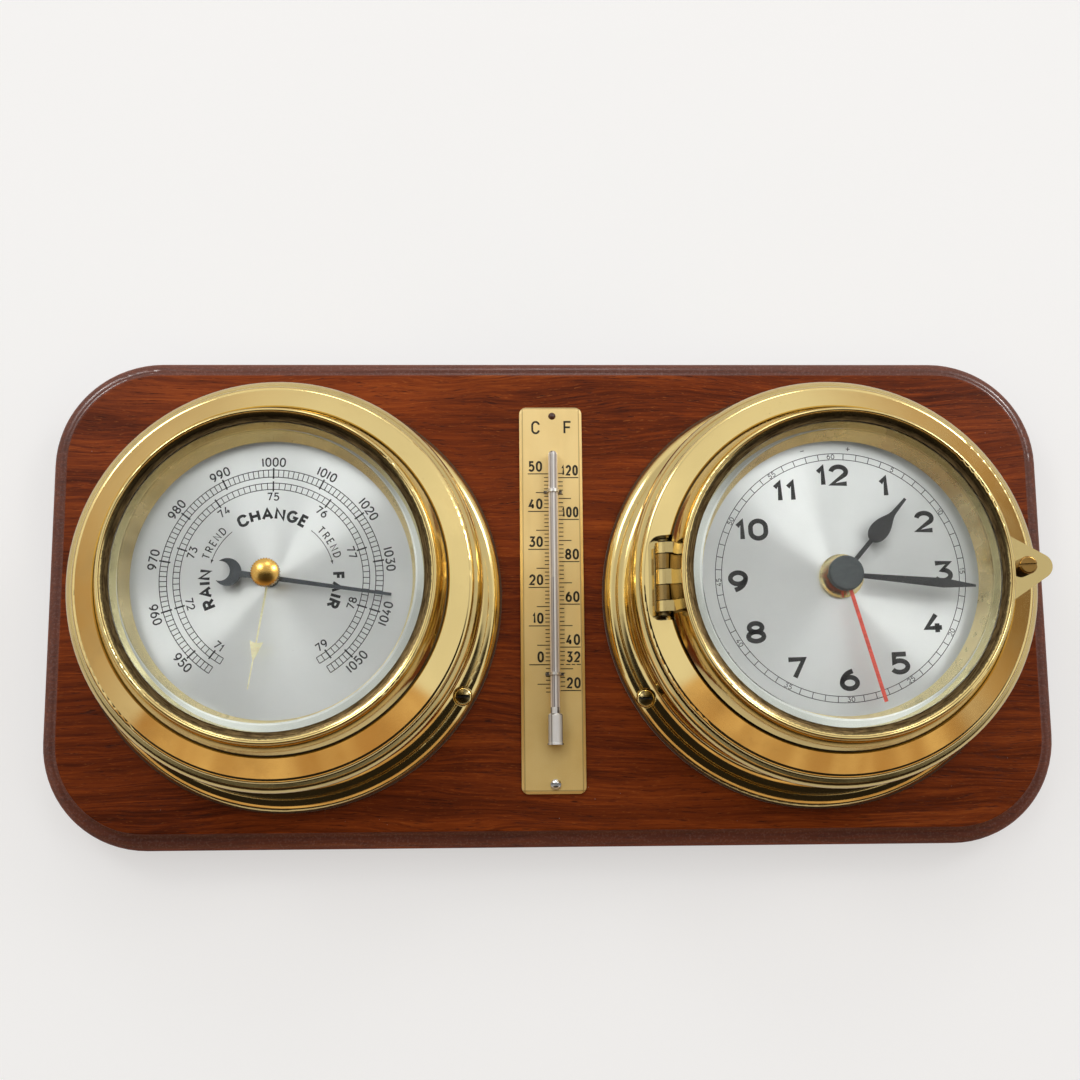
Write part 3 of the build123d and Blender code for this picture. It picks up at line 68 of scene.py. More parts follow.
class Graph:
    """A node tree; each method adds a node and gives its output."""

    def __init__(self, tree):
        self.tree = tree
        tree.nodes.clear()

    def add(self, kind):
        return self.tree.nodes.new(kind)

    def plug(self, socket, value):
        if isinstance(value, bpy.types.NodeSocket):
            self.tree.links.new(value, socket)
        elif isinstance(value, (tuple, list)) and len(value) == 3 and socket.type == "RGBA":
            socket.default_value = (*value, 1.0)
        else:
            socket.default_value = value

    def math(self, operation, first, second=0.0):
        node = self.add("ShaderNodeMath")
        node.operation = operation
        self.plug(node.inputs[0], first)
        self.plug(node.inputs[1], second)
        return node.outputs[0]

    def product(self, first, second):
        return self.math("MULTIPLY", first, second)

    def total(self, first, second):
        return self.math("ADD", first, second)

    def less(self, first, second):
        return self.math("SUBTRACT", first, second)

    def apart(self, first, second):
        return self.math("ABSOLUTE", self.less(first, second))

    def length(self, x, y):
        return self.math("SQRT", self.total(self.product(x, x), self.product(y, y)))

    def vector(self, operation, first, second):
        node = self.add("ShaderNodeVectorMath")
        node.operation = operation
        self.plug(node.inputs[0], first)
        self.plug(node.inputs[1], second)
        return node.outputs[0]

    def split(self, vector):
        node = self.add("ShaderNodeSeparateXYZ")
        self.plug(node.inputs[0], vector)
        return node.outputs

    def join(self, x, y, z):
        node = self.add("ShaderNodeCombineXYZ")
        for socket, value in zip(node.inputs, (x, y, z)):
            self.plug(socket, value)
        return node.outputs[0]

    def noise(self, vector, scale=1.0, detail=2.0, roughness=0.5, distortion=0.0):
        node = self.add("ShaderNodeTexNoise")
        self.plug(node.inputs["Vector"], vector)
        node.inputs["Scale"].default_value = scale
        node.inputs["Detail"].default_value = detail
        node.inputs["Roughness"].default_value = roughness
        node.inputs["Distortion"].default_value = distortion
        return node.outputs[0]

    def remap(self, value, low, high, out_low=0.0, out_high=1.0):
        """Smooth step of a value from low to high."""
        node = self.add("ShaderNodeMapRange")
        node.interpolation_type = "SMOOTHSTEP"
        for socket, number in zip(node.inputs, (value, low, high, out_low, out_high)):
            self.plug(socket, number)
        return node.outputs[0]

    def remap_plain(self, value, low, high):
        """Straight rise from 0 at low to 1 at high."""
        node = self.add("ShaderNodeMapRange")
        for socket, number in zip(node.inputs, (value, low, high)):
            self.plug(socket, number)
        return node.outputs[0]

    def mix(self, share, first, second):
        node = self.add("ShaderNodeMix")
        node.data_type = "RGBA"
        self.plug(node.inputs[0], share)
        self.plug(node.inputs[6], first)
        self.plug(node.inputs[7], second)
        return node.outputs[2]

    def ramp(self, value, *stops):
        node = self.add("ShaderNodeValToRGB")
        self.plug(node.inputs[0], value)
        bar = node.color_ramp
        while len(bar.elements) < len(stops):
            bar.elements.new(0.5)
        for element, (position, colour) in zip(bar.elements, stops):
            element.position = position
            element.color = (*colour, 1.0)
        return node.outputs[0]


class Shader(Graph):
    """One procedural material on the Principled shader."""

    def __init__(self, name):
        self.material = bpy.data.materials.new(name)
        self.material.use_nodes = True
        MATERIALS[name] = self.material
        super().__init__(self.material.node_tree)
        self.surface = self.add("ShaderNodeBsdfPrincipled")
        output = self.add("ShaderNodeOutputMaterial")
        self.tree.links.new(self.surface.outputs[0], output.inputs["Surface"])
        self.place = self.add("ShaderNodeTexCoord").outputs["Object"]

    def set(self, **values):
        for name, value in values.items():
            self.plug(self.surface.inputs[name.replace("_", " ")], value)

    def grain(self, factors, detail=2.0, roughness=0.5, distortion=0.0, place=None):
        """Noise stretched by one factor for each axis."""
        place = self.place if place is None else place
        return self.noise(self.vector("MULTIPLY", place, factors), 1.0, detail, roughness, distortion)

    def flecks(self, density, size, clumps, gate, detail=2.0):
        """Small round spots that come in clumps."""
        node = self.add("ShaderNodeTexVoronoi")
        self.plug(node.inputs["Vector"], self.place)
        node.inputs["Scale"].default_value = density
        spots = self.remap(node.outputs["Distance"], *size)
        return self.product(spots, self.remap(self.noise(self.place, clumps, detail), *gate))

    def bump(self, height, strength, depth):
        node = self.add("ShaderNodeBump")
        node.inputs["Strength"].default_value = strength
        node.inputs["Distance"].default_value = depth
        self.plug(node.inputs["Height"], height)
        return node.outputs[0]

    def polar(self):
        """Radius and angle about the nearer instrument's axis, and height; X is mirrored on the left."""
        x, y, z = self.split(self.place)
        x = self.less(self.math("ABSOLUTE", x), INSTRUMENT_X * MM)
        return self.length(x, y), self.math("ARCTAN2", y, x), z


def times(colour, factor):
    return tuple(channel * factor for channel in colour)


def mahogany():
    """Varnished wood with its grain along X, a painted sheen on the moulding and a dark side below that.
    """
    ripe, pore_dark, lit_fibre = (0.230, 0.0430, 0.0065), (0.026, 0.0065, 0.0030), (0.46, 0.135, 0.030)
    dust_grey, side_dark = (0.55, 0.45, 0.40), (0.030, 0.0090, 0.0050)
    s = Shader("mahogany")
    wander = s.grain((9.0, 30.0, 30.0), 3.0)
    along = s.vector("ADD", s.place, s.join(0.0, s.product(wander, 0.018), 0.0))
    figure = s.grain((5.0, 95.0, 95.0), 5.0, 0.62, place=along)
    fibre = s.grain((40.0, 1250.0, 1250.0), 4.0, 0.75, place=along)
    pore = s.remap(s.grain((210.0, 3300.0, 3300.0), place=along), 0.60, 0.72)
    blotch = s.grain((14.0, 40.0, 40.0), 3.0)
    glint = s.remap(s.grain((420.0, 4200.0, 4200.0), place=along), 0.64, 0.74)
    dust = s.flecks(330.0, (0.055, 0.02), 90.0, (0.56, 0.62))
    wood = s.ramp(s.total(s.product(figure, 0.44), s.product(fibre, 0.56)),
                  (0.33, (0.040, 0.0070, 0.0020)), (0.45, (0.108, 0.0190, 0.0038)),
                  (0.55, (0.225, 0.0410, 0.0056)), (0.68, (0.390, 0.0900, 0.0120)))
    wood = s.mix(s.remap(blotch, 0.35, 0.7, 0.0, 0.35), wood, ripe)
    wood = s.mix(s.product(pore, 0.80), wood, pore_dark)
    wood = s.mix(s.product(glint, 0.38), wood, lit_fibre)
    wood = s.mix(s.product(dust, 0.5), wood, dust_grey)
    z = s.split(s.place)["Z"]
    moulding = s.product(s.remap(z, MOULDING_TOP * MM, (MOULDING_TOP - 0.6) * MM),
                         s.remap(z, MOULDING_FOOT * MM, (MOULDING_FOOT + 1.0) * MM))
    below = s.remap(z, (MOULDING_FOOT + 0.4) * MM, (MOULDING_FOOT - 1.8) * MM, 0.0, 0.55)
    # painted sheen on the moulding: a lighter grey-pink band, dotted
    dotted = s.remap(s.noise(s.place, 1500.0, 2.0), 0.50, 0.66)
    painted_sheen = s.mix(dotted, (0.135, 0.062, 0.048), (0.200, 0.105, 0.088))
    wood = s.mix(s.product(moulding, 0.62), wood, painted_sheen)
    wood = s.mix(below, wood, side_dark)
    rough = s.total(s.remap(figure, 0.3, 0.7, 0.30, 0.42), s.product(pore, 0.25))
    height = s.less(s.product(fibre, 0.35), pore)
    s.set(Base_Color=wood, Roughness=rough, Specular_IOR_Level=0.07,
          Coat_Weight=s.total(s.product(moulding, 0.30), 0.025), Coat_Roughness=0.16,
          Normal=s.bump(height, 0.30, 0.00012))


BRASS = (0.79, 0.61, 0.255)
BRASS_SHADE = (0.33, 0.19, 0.055)
BRASS_CRUST = (0.028, 0.016, 0.007)
POCKET_SHADE = (0.060, 0.030, 0.010)
ROOT_SHADE = (0.30, 0.17, 0.050)
LACQUER = 0.25


def brass(name, roughness, tone, patina, hue=BRASS, satin=0.0, lathe=0.0, lip=None, pocket=False,
          root=False):
    """Lacquered brass with turning marks round the instrument, smudges and specks.

    lathe spreads highlights across the turning marks, lip puts dirt along the bezel's inner edge and
    paints shade, with lighter painted streaks of highlight, on the lip's inner wall, pocket paints shade
    into what is sunk into the front ring's cone, and root darkens the leaf where it meets the bezel.
    """
    s = Shader(name)
    radius, angle, height = s.polar()
    round_marks = s.noise(s.join(s.product(radius, 5200.0), s.product(angle, 3.0),
                                 s.product(height, 5200.0)), 1.0, 3.0, 0.6)
    hairlines = s.grain((900.0, 4200.0, 2600.0), 3.0, 0.7, 0.6)
    smudge = s.noise(s.place, 75.0, 4.0, 0.6)
    cloud = s.noise(s.place, 24.0, 3.0, 0.55)
    speck = s.flecks(460.0, (0.09, 0.03), 120.0, (0.55, 0.66))
    colour = s.mix(s.remap(cloud, 0.35, 0.7), times(hue, tone), times(hue, 0.90 * tone))
    colour = s.mix(s.product(s.remap(smudge, 0.52, 0.75), 0.35 * patina), colour, BRASS_SHADE)
    colour = s.mix(s.product(speck, 0.7), colour, times(BRASS_SHADE, 0.5))
    rough = s.total(s.remap(smudge, 0.3, 0.75, roughness * 0.75, roughness * 1.5),
                    s.product(s.remap(hairlines, 0.55, 0.75), 0.07))
    marks = s.total(s.product(round_marks, 0.4 + satin), s.product(hairlines, 0.25))
    coat = LACQUER
    if lip:
        inner, outer, low = lip
        above = s.remap(height, (low - 0.4) * MM, low * MM)
        ragged = s.product(s.less(s.noise(s.place, 1300.0, 4.0, 0.75), 0.5), 0.0010)
        worn = s.total(radius, ragged)
        inside = s.product(s.remap(radius, (inner + 0.1) * MM, (inner - 0.2) * MM), above)
        dirt = s.product(s.remap(worn, outer * MM, (outer - 0.2) * MM),
                         s.remap(worn, (inner - 0.5) * MM, inner * MM))
        dirt = s.product(dirt, above)
        # painted shade on the lip's inner wall: dark brown, with lighter painted streaks of highlight
        # along the turning
        turned = s.noise(s.join(s.product(radius, 3000.0), s.product(angle, 9.0), 0.0), 1.0, 3.0, 0.7)
        wall = s.mix(s.remap(turned, 0.35, 0.65), (0.040, 0.025, 0.011), (0.150, 0.100, 0.042))
        colour = s.mix(s.product(dirt, 0.92), s.mix(inside, colour, wall), BRASS_CRUST)
        dirt_and_shade = s.math("MAXIMUM", dirt, inside)
        rough = s.total(rough, s.product(dirt_and_shade, 0.22))
        coat = s.product(s.less(1.0, dirt_and_shade), LACQUER)
    if pocket:
        # painted shade in what is sunk into the front ring's cone
        edge, top, slope = FRONT_CONE
        cone = s.less(top * MM, s.product(s.less(radius, edge * MM), slope))
        sunk = s.remap(s.less(cone, height), 0.3 * MM, 0.9 * MM)
        colour = s.mix(s.product(sunk, 0.9), colour, POCKET_SHADE)
    if root:
        start = INSTRUMENT_X - HINGE_ROOT
        joined = s.remap(s.split(s.place)["X"], start * MM, (start + 0.4) * MM)
        colour = s.mix(s.product(joined, 0.85), colour, ROOT_SHADE)
    s.set(Base_Color=colour, Metallic=1.0, Roughness=rough, Coat_Weight=coat, Coat_Roughness=0.06,
          Normal=s.bump(marks, 0.10 + 0.25 * satin, 0.00004))
    if lathe:
        side = s.math("SIGN", s.split(s.place)["X"])
        outwards = s.join(s.product(side, s.math("COSINE", angle)), s.math("SINE", angle), 0.0)
        s.set(Anisotropic=lathe, Tangent=outwards)


def brushed_dial(name, centre):
    """Silvered dial, brushed outwards from its centre, so highlights fan out as opposite wedges."""
    s = Shader(name)
    x, y, _ = s.split(s.vector("SUBTRACT", s.place, (centre * MM, 0.0, 0.0)))
    angle = s.math("ARCTAN2", y, x)
    cosine, sine = s.math("COSINE", angle), s.math("SINE", angle)
    rays = s.grain((140.0, 140.0, 1.0), 5.0, 0.75, place=s.join(cosine, sine, 0.0))
    streak = s.noise(s.join(s.product(cosine, 420.0), s.product(sine, 420.0),
                            s.product(s.length(x, y), 160.0)), 1.0, 2.0, 0.6)
    tarnish = s.noise(s.place, 40.0, 4.0, 0.6)
    speck = s.flecks(300.0, (0.04, 0.015), 70.0, (0.58, 0.66))
    colour = s.mix(s.remap(tarnish, 0.3, 0.75), (0.93, 0.965, 0.935), (0.885, 0.92, 0.885))
    colour = s.mix(s.remap(rays, 0.35, 0.7, 0.0, 0.22), colour, (0.97, 0.985, 0.97))
    colour = s.mix(s.product(speck, 0.6), colour, (0.30, 0.30, 0.27))
    around = s.join(s.product(sine, -1.0), cosine, 0.0)
    s.set(Base_Color=colour, Metallic=0.85, Roughness=s.remap(streak, 0.3, 0.7, 0.31, 0.39),
          Anisotropic=0.95, Tangent=around, Normal=s.bump(s.total(rays, streak), 0.05, 0.00002))


def gold_plate():
    """Gold anodised sheet, paler towards its top, with a thin dark border line."""
    s = Shader("gold_plate")
    brushing = s.grain((2600.0, 60.0, 200.0), 3.0, 0.6)
    grit = s.noise(s.place, 2600.0, 3.0, 0.6)
    patch = s.noise(s.place, 55.0, 3.0)
    x, y, _ = s.split(s.place)
    colour = s.mix(s.remap(patch, 0.3, 0.75), (0.860, 0.625, 0.240), (0.760, 0.515, 0.165))
    colour = s.mix(s.remap(grit, 0.45, 0.75, 0.0, 0.18), colour, (0.86, 0.70, 0.36))
    colour = s.mix(s.remap(y, -50.0 * MM, 50.0 * MM, 0.0, 0.45), colour, (0.93, 0.73, 0.36))
    wide, narrow = 0.24 * MM, 0.10 * MM
    sides = s.remap(s.apart(s.math("ABSOLUTE", x), PLATE_LINE_X * MM), wide, narrow)
    foot = s.remap(s.apart(y, PLATE_LINE_Y * MM), wide, narrow)
    head = s.remap(y, PLATE_HEAD * MM, (PLATE_HEAD + 0.4) * MM)
    line = s.math("MAXIMUM", s.math("MAXIMUM", sides, foot), head)
    colour = s.mix(s.product(line, 0.55), colour, (0.20, 0.13, 0.035))
    s.set(Base_Color=colour, Metallic=0.40, Roughness=s.remap(brushing, 0.3, 0.7, 0.36, 0.48),
          Normal=s.bump(s.total(grit, brushing), 0.12, 0.00003))


def painted(name, colour, dust, roughness, dust_share):
    """Flat paint with a fine orange peel, scuffs and settled dust."""
    s = Shader(name)
    peel = s.noise(s.place, 3200.0, 3.0, 0.6)
    scuff = s.grain((300.0, 900.0, 300.0), 4.0, 0.65)
    flecks = s.flecks(900.0, (0.22, 0.08), 420.0, (0.52, 0.66), 3.0)
    shade = s.mix(s.remap(scuff, 0.35, 0.75), colour, times(colour, 1.35))
    shade = s.mix(s.product(flecks, dust_share), shade, dust)
    rough = s.remap(scuff, 0.3, 0.7, roughness * 0.85, min(1.0, roughness * 1.15))
    s.set(Base_Color=shade, Roughness=rough, Specular_IOR_Level=0.4,
          Normal=s.bump(peel, 0.10, 0.00003))


def polished(name, colour, roughness):
    """Plain drawn or plated metal with fine scratches and handling smudges."""
    s = Shader(name)
    scratch = s.grain((700.0, 3600.0, 1500.0), 3.0, 0.7, 0.5)
    smudge = s.noise(s.place, 140.0, 4.0, 0.6)
    shade = s.mix(s.remap(smudge, 0.35, 0.75), colour, times(colour, 0.72))
    rough = s.remap(smudge, 0.3, 0.75, roughness, roughness * 1.9)
    s.set(Base_Color=shade, Metallic=1.0, Roughness=rough, Normal=s.bump(scratch, 0.10, 0.00003))


def pane():
    """Clear window glass with faint smears and a duller ground edge."""
    s = Shader("window_glass")
    smear = s.grain((60.0, 25.0, 60.0), 3.0, 0.6)
    ground = s.remap(s.polar()[0], GLASS_BEVEL * MM, (GLASS_BEVEL + 0.2) * MM)
    s.set(Base_Color=s.mix(ground, (1.0, 1.0, 1.0), (0.70, 0.715, 0.675)),
          Roughness=s.total(s.remap(smear, 0.62, 0.85, 0.0, 0.05), s.product(ground, 0.05)),
          Transmission_Weight=1.0, IOR=1.50, Specular_Tint=(0.35, 0.35, 0.35))


def stem_glass():
    """Drawn tube: its round section is painted as lengthwise stripes of highlight and shade, with the
    dark thread in them.
    """
    s = Shader("stem_glass")
    x, y, _ = s.split(s.place)
    across = s.remap_plain(x, STEM_SIDES[0] * MM, STEM_SIDES[1] * MM)
    draw = s.grain((1500.0, 40.0, 1500.0), 3.0)
    # painted highlights and shade of the round glass, across the tube
    stripes = s.ramp(across, (0.0, (0.98, 0.90, 0.82)), (0.12, (0.92, 0.84, 0.77)),
                     (0.20, (0.34, 0.31, 0.30)), (0.34, (0.62, 0.58, 0.58)),
                     (0.44, (0.46, 0.43, 0.43)), (0.50, (0.98, 0.98, 0.97)),
                     (0.60, (0.98, 0.97, 0.96)), (0.66, (0.52, 0.49, 0.49)),
                     (0.80, (0.40, 0.37, 0.37)), (0.88, (0.92, 0.84, 0.78)),
                     (1.0, (0.98, 0.90, 0.82)))
    thread = s.product(s.remap(s.apart(across, 0.40), 0.06, 0.02),
                       s.remap(y, MERCURY_TOP * MM, (MERCURY_TOP - 0.6) * MM))
    stripes = s.mix(s.product(thread, 0.8), stripes, (0.10, 0.10, 0.11))
    uneven = s.total(y, s.product(s.noise(s.place, 900.0, 2.0), 0.0012))
    tip = s.remap(uneven, STEM_TIP * MM, (STEM_TIP + 0.4) * MM)
    stripes = s.mix(tip, stripes, (0.055, 0.045, 0.042))
    stripes = s.mix(s.remap(draw, 0.5, 0.8, 0.0, 0.25), stripes, (0.90, 0.87, 0.86))
    s.set(Base_Color=stripes, Roughness=s.remap(draw, 0.3, 0.7, 0.08, 0.16),
          Transmission_Weight=0.06, IOR=1.47, Coat_Weight=0.4, Coat_Roughness=0.04)


def mercury_bulb():
    """Mercury behind glass: upright bright and dark bands, a painted reflection as in a round mirror."""
    s = Shader("mercury_bulb")
    x, y, _ = s.split(s.place)
    across = s.remap_plain(x, BULB_SIDES[0] * MM, BULB_SIDES[1] * MM)
    ripple = s.grain((900.0, 120.0, 900.0), 3.0)
    # painted reflection: bands of highlight and shade across the bulb
    bands = s.ramp(across, (0.0, (0.03, 0.03, 0.03)), (0.06, (0.50, 0.50, 0.50)),
                   (0.20, (0.80, 0.80, 0.80)), (0.25, (0.07, 0.07, 0.07)),
                   (0.30, (0.80, 0.81, 0.81)), (0.45, (0.93, 0.94, 0.94)),
                   (0.72, (0.86, 0.87, 0.87)), (0.86, (0.60, 0.61, 0.61)),
                   (0.92, (0.06, 0.06, 0.06)), (1.0, (0.02, 0.02, 0.02)))
    uneven = s.total(y, s.product(ripple, 0.0010))
    neck = s.remap(uneven, BULB_NECK * MM, (BULB_NECK + 0.5) * MM)
    bands = s.mix(s.product(neck, s.remap(ripple, 0.45, 0.60)), bands, (0.06, 0.05, 0.045))
    bands = s.mix(s.remap(ripple, 0.55, 0.8, 0.0, 0.4), bands, (0.72, 0.72, 0.70))
    s.set(Base_Color=bands, Metallic=0.05, Roughness=s.remap(ripple, 0.3, 0.7, 0.10, 0.20),
          Coat_Weight=0.5, Coat_Roughness=0.03)


def clip_metal():
    """Tinned band clips: bright over the tube, darker at their feet."""
    s = Shader("clip_metal")
    worn = s.noise(s.place, 800.0, 3.0, 0.6)
    off_middle = s.apart(s.split(s.place)["X"], CLIP_MIDDLE * MM)
    foot = s.remap(off_middle, CLIP_FOOT * MM, (CLIP_FOOT + 0.4) * MM)
    shade = s.mix(s.remap(worn, 0.3, 0.75), (0.86, 0.85, 0.83), (0.58, 0.56, 0.52))
    dirt = s.mix(s.remap(worn, 0.4, 0.7), (0.05, 0.04, 0.03), (0.30, 0.25, 0.18))
    s.set(Base_Color=s.mix(foot, shade, dirt), Metallic=0.6,
          Roughness=s.remap(worn, 0.3, 0.7, 0.20, 0.34))


def felt():
    """Rough brown felt."""
    brown = (0.090, 0.050, 0.028)
    s = Shader("felt")
    fibres = s.grain((2600.0, 2600.0, 900.0), 4.0, 0.75, 1.2)
    shade = s.mix(s.remap(fibres, 0.3, 0.75), times(brown, 0.55), times(brown, 1.6))
    s.set(Base_Color=shade, Roughness=0.95, Specular_IOR_Level=0.1, Sheen_Weight=0.4,
          Sheen_Roughness=0.5, Normal=s.bump(fibres, 0.8, 0.0002))


def moulded():
    """Moulded black plastic with a fine spark-eroded texture."""
    black = (0.022, 0.022, 0.023)
    s = Shader("black_plastic")
    spark = s.noise(s.place, 5200.0, 3.0, 0.7)
    flow = s.noise(s.place, 60.0, 3.0)
    s.set(Base_Color=s.mix(s.remap(flow, 0.3, 0.7), black, times(black, 1.5)),
          Roughness=s.remap(spark, 0.3, 0.7, 0.42, 0.60), Normal=s.bump(spark, 0.25, 0.00004))


def battery_wrap():
    """Plain shrink sleeve: dark body with one metal-coloured end band, no lettering."""
    s = Shader("battery_wrap")
    band = s.remap(s.split(s.place)["X"], BATTERY_BAND * MM, (BATTERY_BAND + 0.4) * MM)
    foil = s.grain((40.0, 2200.0, 2200.0))
    copper = s.mix(s.remap(foil, 0.3, 0.7), (0.62, 0.42, 0.18), (0.50, 0.32, 0.12))
    s.set(Base_Color=s.mix(band, (0.020, 0.022, 0.026), copper), Metallic=s.product(band, 0.7),
          Roughness=s.remap(foil, 0.3, 0.7, 0.22, 0.34))


def ink(name, colour):
    """Printed ink: nearly black, a little uneven where it lies on the brushed metal."""
    s = Shader(name)
    coverage = s.noise(s.place, 2400.0, 3.0, 0.6)
    shade = s.mix(s.remap(coverage, 0.45, 0.8), colour, times(colour, 2.2))
    s.set(Base_Color=shade, Roughness=s.remap(coverage, 0.3, 0.7, 0.5, 0.7), Specular_IOR_Level=0.25)


mahogany()
brass("case_brass", 0.10, 0.97, 0.6)
brass("front_brass", 0.12, 1.0, 0.45, pocket=True)
brass("bezel_brass", 0.10, 1.0, 0.6, lip=BEZEL_LIP)
brass("ring_brass", 0.21, 1.0, 0.4, hue=(0.98, 0.85, 0.48), satin=0.3, lathe=0.85)
brass("small_brass", 0.17, 0.92, 1.0)
brass("knob_brass", 0.22, 1.0, 1.2, hue=(0.62, 0.37, 0.085))
brass("leaf_brass", 0.18, 0.86, 1.3, root=True)
# this brass is toned down for the case leaf, whose knuckles sit in the pocket: painted shade
brass("hinge_brass_shaded", 0.22, 0.42, 1.5, hue=(0.74, 0.48, 0.16))
brass("screw_brass", 0.20, 0.55, 1.6, hue=(0.60, 0.33, 0.08))
brass("dark_brass", 0.34, 0.16, 1.4)
# the dark sheet laid into the flange screws' slots is painted shade
painted("slot_dirt", (0.010, 0.007, 0.004), (0.05, 0.035, 0.02), 0.8, 0.3)
painted("rust", (0.060, 0.018, 0.011), (0.16, 0.06, 0.03), 0.45, 0.5)
pane()
stem_glass()
brushed_dial("barometer_silver", -INSTRUMENT_X)
brushed_dial("clock_silver", INSTRUMENT_X)
gold_plate()
mercury_bulb()
polished("column", (0.20, 0.20, 0.22), 0.12)
polished("steel", (0.62, 0.61, 0.59), 0.24)
polished("pewter", (0.50, 0.48, 0.45), 0.26)
clip_metal()
painted("blued_steel", (0.047, 0.058, 0.064), (0.30, 0.32, 0.32), 0.42, 0.35)
painted("black_paint", (0.036, 0.038, 0.037), (0.34, 0.33, 0.30), 0.62, 0.45)
painted("cap_paint", (0.070, 0.084, 0.084), (0.34, 0.35, 0.34), 0.55, 0.25)
painted("red_paint", (0.72, 0.095, 0.060), (0.75, 0.40, 0.34), 0.50, 0.25)
painted("cream_paint", (0.93, 0.89, 0.56), (0.86, 0.82, 0.60), 0.50, 0.25)
felt()
moulded()
battery_wrap()
ink("ink", (0.022, 0.024, 0.023))
ink("numeral_ink", (0.034, 0.035, 0.032))
ink("plate_ink", (0.026, 0.021, 0.010))

FINISH = {
    "board": "mahogany", "flange_gaskets": "felt",
    "barometer_case": "case_brass", "clock_case": "case_brass",
    "barometer_front_ring": "front_brass", "clock_front_ring": "front_brass",
    "barometer_bezel": "bezel_brass", "clock_bezel": "bezel_brass",
    "barometer_dial_ring": "ring_brass", "clock_dial_ring": "ring_brass",
    "barometer_glass_ring": "dark_brass", "clock_glass_ring": "dark_brass",
    "hinge_case_leaf": "hinge_brass_shaded", "hinge_bezel_leaf": "leaf_brass", "hinge_pin": "dark_brass",
    "cup_washers": "small_brass", "flange_screws": "dark_brass", "latch_screw": "screw_brass",
    "set_hand_bush": "small_brass", "set_knob": "knob_brass", "dial_nut": "ring_brass",
    "barometer_glass": "window_glass", "clock_glass": "window_glass",
    "barometer_dial": "barometer_silver", "clock_dial": "clock_silver",
    "dial_spacers": "black_plastic", "thermometer_plate": "gold_plate",
    "thermometer_stem": "stem_glass", "thermometer_bulb": "mercury_bulb", "mercury_column": "column",
    "stem_clips": "clip_metal", "plate_pin": "rust", "plate_screw": "steel",
    "barometer_hand": "blued_steel", "pointer_arbor": "steel", "set_hand": "cream_paint",
    "hour_hand": "black_paint", "minute_hand": "black_paint", "second_hand": "red_paint",
    "hand_cap": "cap_paint", "clock_movement": "black_plastic", "battery": "battery_wrap",
    "hairspring": "blued_steel", "aneroid_capsule": "pewter", "capsule_spring": "steel",
    "spring_post": "small_brass", "capsule_lever": "steel", "lower_bridge": "small_brass",
    "upper_bridge": "small_brass", "bridge_pillars": "small_brass", "sector_gear": "small_brass",
    "aneroid_base_plate": "steel",
}
for name, node in nodes.items():
    material = MATERIALS[FINISH[name]]
    if not node.data.materials:
        node.data.materials.append(material)
    for index in range(len(node.data.materials)):
        node.data.materials[index] = material


def unit(vector):
    length = math.hypot(*vector)
    return (vector[0] / length, vector[1] / length) if length > 1e-9 else None


def polar(radius, angle):
    return (radius * math.cos(math.radians(angle)), radius * math.sin(math.radians(angle)))


def bow(cx, cy, rx, ry, start, end):
    """Points along a piece of an ellipse."""
    steps = max(3, int(abs(end - start) / 12))
    turns = [math.radians(start + (end - start) * k / steps) for k in range(steps + 1)]
    return [(cx + rx * math.cos(turn), cy + ry * math.sin(turn)) for turn in turns]


